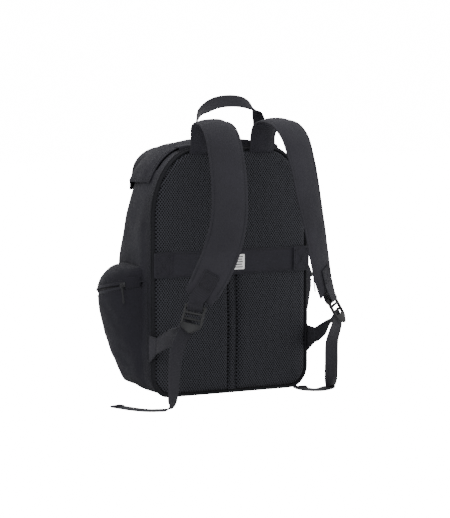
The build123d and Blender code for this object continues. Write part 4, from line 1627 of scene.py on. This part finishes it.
SLIDER_BLOCKS = (
    # place outward, along and up; size the same way; rounding
    ((-1.3, 0, 0), (1.1, 10.4, 8.0), 0.5), ((0.6, 0.4, 0), (1.2, 9.6, 7.2), 0.55),
    ((-0.4, -4.2, 0), (1.8, 1.8, 2.2), 0.5), ((0.2, 0, 3.7), (2.4, 8.6, 0.9), 0.4),
    ((0.2, 0, -3.7), (2.4, 8.6, 0.9), 0.4), ((1.75, 0, 2.0), (1.1, 1.8, 1.4), 0.4),
    ((1.75, 0, -2.0), (1.1, 1.8, 1.4), 0.4), ((2.2, 0, 0), (0.7, 1.8, 5.2), 0.3),
)


def zip_hardware(name, axes, pivot, slider_body, puller_body, slider_node, puller_node):
    """Slider and puller from a frame of outward, along and up directions."""
    centre = pivot - axes[0] * 3.4 * MM
    parts = [placed_box(axes, centre, *block) for block in SLIDER_BLOCKS]
    slider = join_all(parts, f"slider_body_{name}")
    shade(slider, 45)
    finish(slider, painted_metal, slider_body, "dark_metal", slider_node)
    link = link_ring(axes, pivot, (0.15, 0, -3.2), 7.4, 3.4, 0.45, f"pull_link_{name}")
    finish(link, painted_metal, puller_body, "puller_cord", puller_node)
    tab = pull_tab(axes, pivot, 6.2, f"pull_tab_{name}")
    finish(tab, cord_finish, puller_body, "puller_cord")


for side, side_name in SIDES:
    pivot = Vector(joints[f"puller_swing_{side_name}"]["pos_m"])
    up = Vector((0, math.sin(ZIP_SLOPE), math.cos(ZIP_SLOPE)))
    outward = pivot - Vector((side * ZIP_CENTRE.x, ZIP_CENTRE.y, ZIP_CENTRE.z))
    outward = (outward - up * outward.dot(up)).normalized()
    axes = (outward, up.cross(outward), up)
    zip_hardware(
        side_name, axes, pivot, f"slider_{side_name}", f"puller_{side_name}",
        f"zip_slider_{side_name}", f"zip_puller_{side_name}",
    )

front_pivot = Vector(joints["front_puller_swing"]["pos_m"])
front_axes = (Vector((0, 1, 0)), Vector((-1, 0, 0)), Vector((0, 0, 1)))
zip_hardware(
    "front", front_axes, front_pivot, "front_slider", "front_puller", "front_slider",
    "front_puller",
)

# %% [markdown]
# Each side zip ends at the back in a small garage: a folded piece of pack cloth, sewn over
# the end of the tape so that the slider parks against it.

# %% Zip garages
for side, side_name in SIDES:
    def garage_point(u, v, s=side):
        angle = -ARC_HALF + 0.02 + u * 0.42
        lift = (v - 0.4) * 19 * MM
        bulge = 1.5 * MM * math.sin(math.pi * v) + 0.8 * MM * math.sin(math.pi * u)
        return zip_arc(s, angle, ARC_RADIUS + 2.0 * MM + bulge, lift)

    lay_cloth(
        f"zip_garage_{side_name}", (12, 12), garage_point,
        (side * 0.13, ZIP_CENTRE.y, ZIP_CENTRE.z), 1.6 * MM, shell_cloth, "shell_fabric",
    )

# %% [markdown]
# ## Front pocket
# The front pocket is a low padded box of cloth with rounded edges. Its zip runs straight
# across near the top, under a narrow hood.


# %% Front pocket pattern
front_pocket_low, front_pocket_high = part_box("front_pocket")
_, front_hood_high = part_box("front_pocket_hood")
FRONT_ZIP = front_pivot.z
FP_HALF = front_pocket_high[0]
FP_FOOT = front_pocket_low[2]
FP_TOP = front_hood_high[2]
FP_DEPTH = front_pocket_high[1] - FRONT
FP_MIDDLE = (FP_FOOT + FP_TOP) / 2
FP_CORNER = 24 * MM


def past_corner(z):
    """How far a height is into the pocket's rounded corners."""
    return max(abs(z - FP_MIDDLE) - ((FP_TOP - FP_FOOT) / 2 - FP_CORNER), 0.0)


def edge_rise(x, z, soft=20 * MM):
    """How much of its depth the front pocket has reached at a place, 0 at its edge."""
    far_x = max(abs(x) - (FP_HALF - FP_CORNER), 0.0)
    inset = FP_CORNER - math.hypot(far_x, past_corner(z))
    share = min(max(inset / soft, 0.0), 1.0)
    return math.sqrt(1 - (1 - share) ** 2)


def front_pocket_place(x, z, inset=0.0):
    """Point of the front pocket's face at a place, a little inside it if asked."""
    rise = edge_rise(x, z)
    wave = ripple((x, 0, z), 20, 2.0 * MM, 12.0) + ripple((x, 0, z), 48, 0.8 * MM, 4.0)
    y = FRONT + (FP_DEPTH - 0.4 * MM) * rise + wave * rise - inset
    return Vector((x, y, z))


def pocket_zone(low, high):
    """Grid function for a horizontal zone of the front pocket."""
    def place(u, v):
        x = (2 * u - 1) * FP_HALF
        z = low + (high - low) * v
        limit = FP_HALF - FP_CORNER + math.sqrt(max(FP_CORNER**2 - past_corner(z) ** 2, 0.0))
        return front_pocket_place(x * limit / FP_HALF, z)
    return place


# %% Front pocket cloth and zip
lower_zone = pocket_zone(FP_FOOT, FRONT_ZIP - 3.6 * MM)
hood_zone = pocket_zone(FRONT_ZIP + 3.6 * MM, FP_TOP)
tape_zone = pocket_zone(FRONT_ZIP - 8 * MM, FRONT_ZIP + 8 * MM)
for name, along, zone, node in (
    ("front_pocket_cloth", 70, lower_zone, "front_pocket"),
    ("front_hood_cloth", 20, hood_zone, "front_pocket_hood"),
):
    lay_cloth(
        name, (90, along), zone, (0, 0, 0.12), 2.0 * MM, shell_cloth, "shell_fabric", node,
        fill=0.5,
    )
lay_cloth(
    "front_tape", (90, 6), lambda u, v: tape_zone(u, v) - Vector((0, 2.2 * MM, 0)),
    (0, 0, 0.12), 0.9 * MM, band_cloth, "zip_coil", "front_zip", rounding=0,
)
teeth = []
reach = 86 * MM
for index in range(int(2 * reach / TOOTH)):
    x = -reach + (index + 0.5) * TOOTH
    spot = front_pocket_place(x, FRONT_ZIP, 1.2 * MM)
    spot.y = max(spot.y, FRONT + FP_DEPTH - 2.2 * MM)
    teeth.append((spot, Vector((1, 0, 0)), Vector((0, 1, 0))))
coil_teeth("front_coil", teeth)
proud = Vector((0, 0.5 * MM, 0))
rows = [
    [front_pocket_place(x * MM, z) + proud for x in range(-84, 85, 3)]
    for z in (FRONT_ZIP - 8 * MM, FRONT_ZIP + 8 * MM)
]
stitch_rows("front_stitching", rows)

# %% [markdown]
# ## Inside, and the snap
# Under the lid there is a padded laptop sleeve against the back, with a bound top edge. The
# back board and the two discs of the snap are the frame's own pieces, with real finishes.

# %% Inside pieces
sleeve_low, sleeve_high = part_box("laptop_sleeve")


def sleeve_point(u, v):
    """Point of the sleeve's front sheet, hung from its two sides."""
    x, z = box_place(sleeve_low, sleeve_high, u, v)
    edge = smooth_step(min(u, 1 - u) / 0.08)
    y = sleeve_low[1] + (sleeve_high[1] - sleeve_low[1] - 1.2 * MM) * edge
    y += ripple((x, 0, z), 16, 1.6 * MM, 15.0) * edge
    return Vector((x, y, z - 5 * MM * v * (1 - (2 * u - 1) ** 2)))


lay_cloth(
    "sleeve_cloth", (60, 40), sleeve_point, (0, REAR - 0.05, 0.15), 2.0 * MM, lining_cloth,
    "lining", "laptop_sleeve", fill=0.4,
)
hem = [sleeve_point(u / 40, 1.0) for u in range(1, 40)]
sleeve_hem = tube("sleeve_binding", hem, 1.9 * MM)
finish(sleeve_hem, binding_cloth, "bag", "binding")
for node, material in (
    ("back_board", lining_cloth), ("snap_base", painted_metal), ("snap_cap", painted_metal),
):
    for holder in bpy.data.objects[node].material_slots:
        holder.material = material
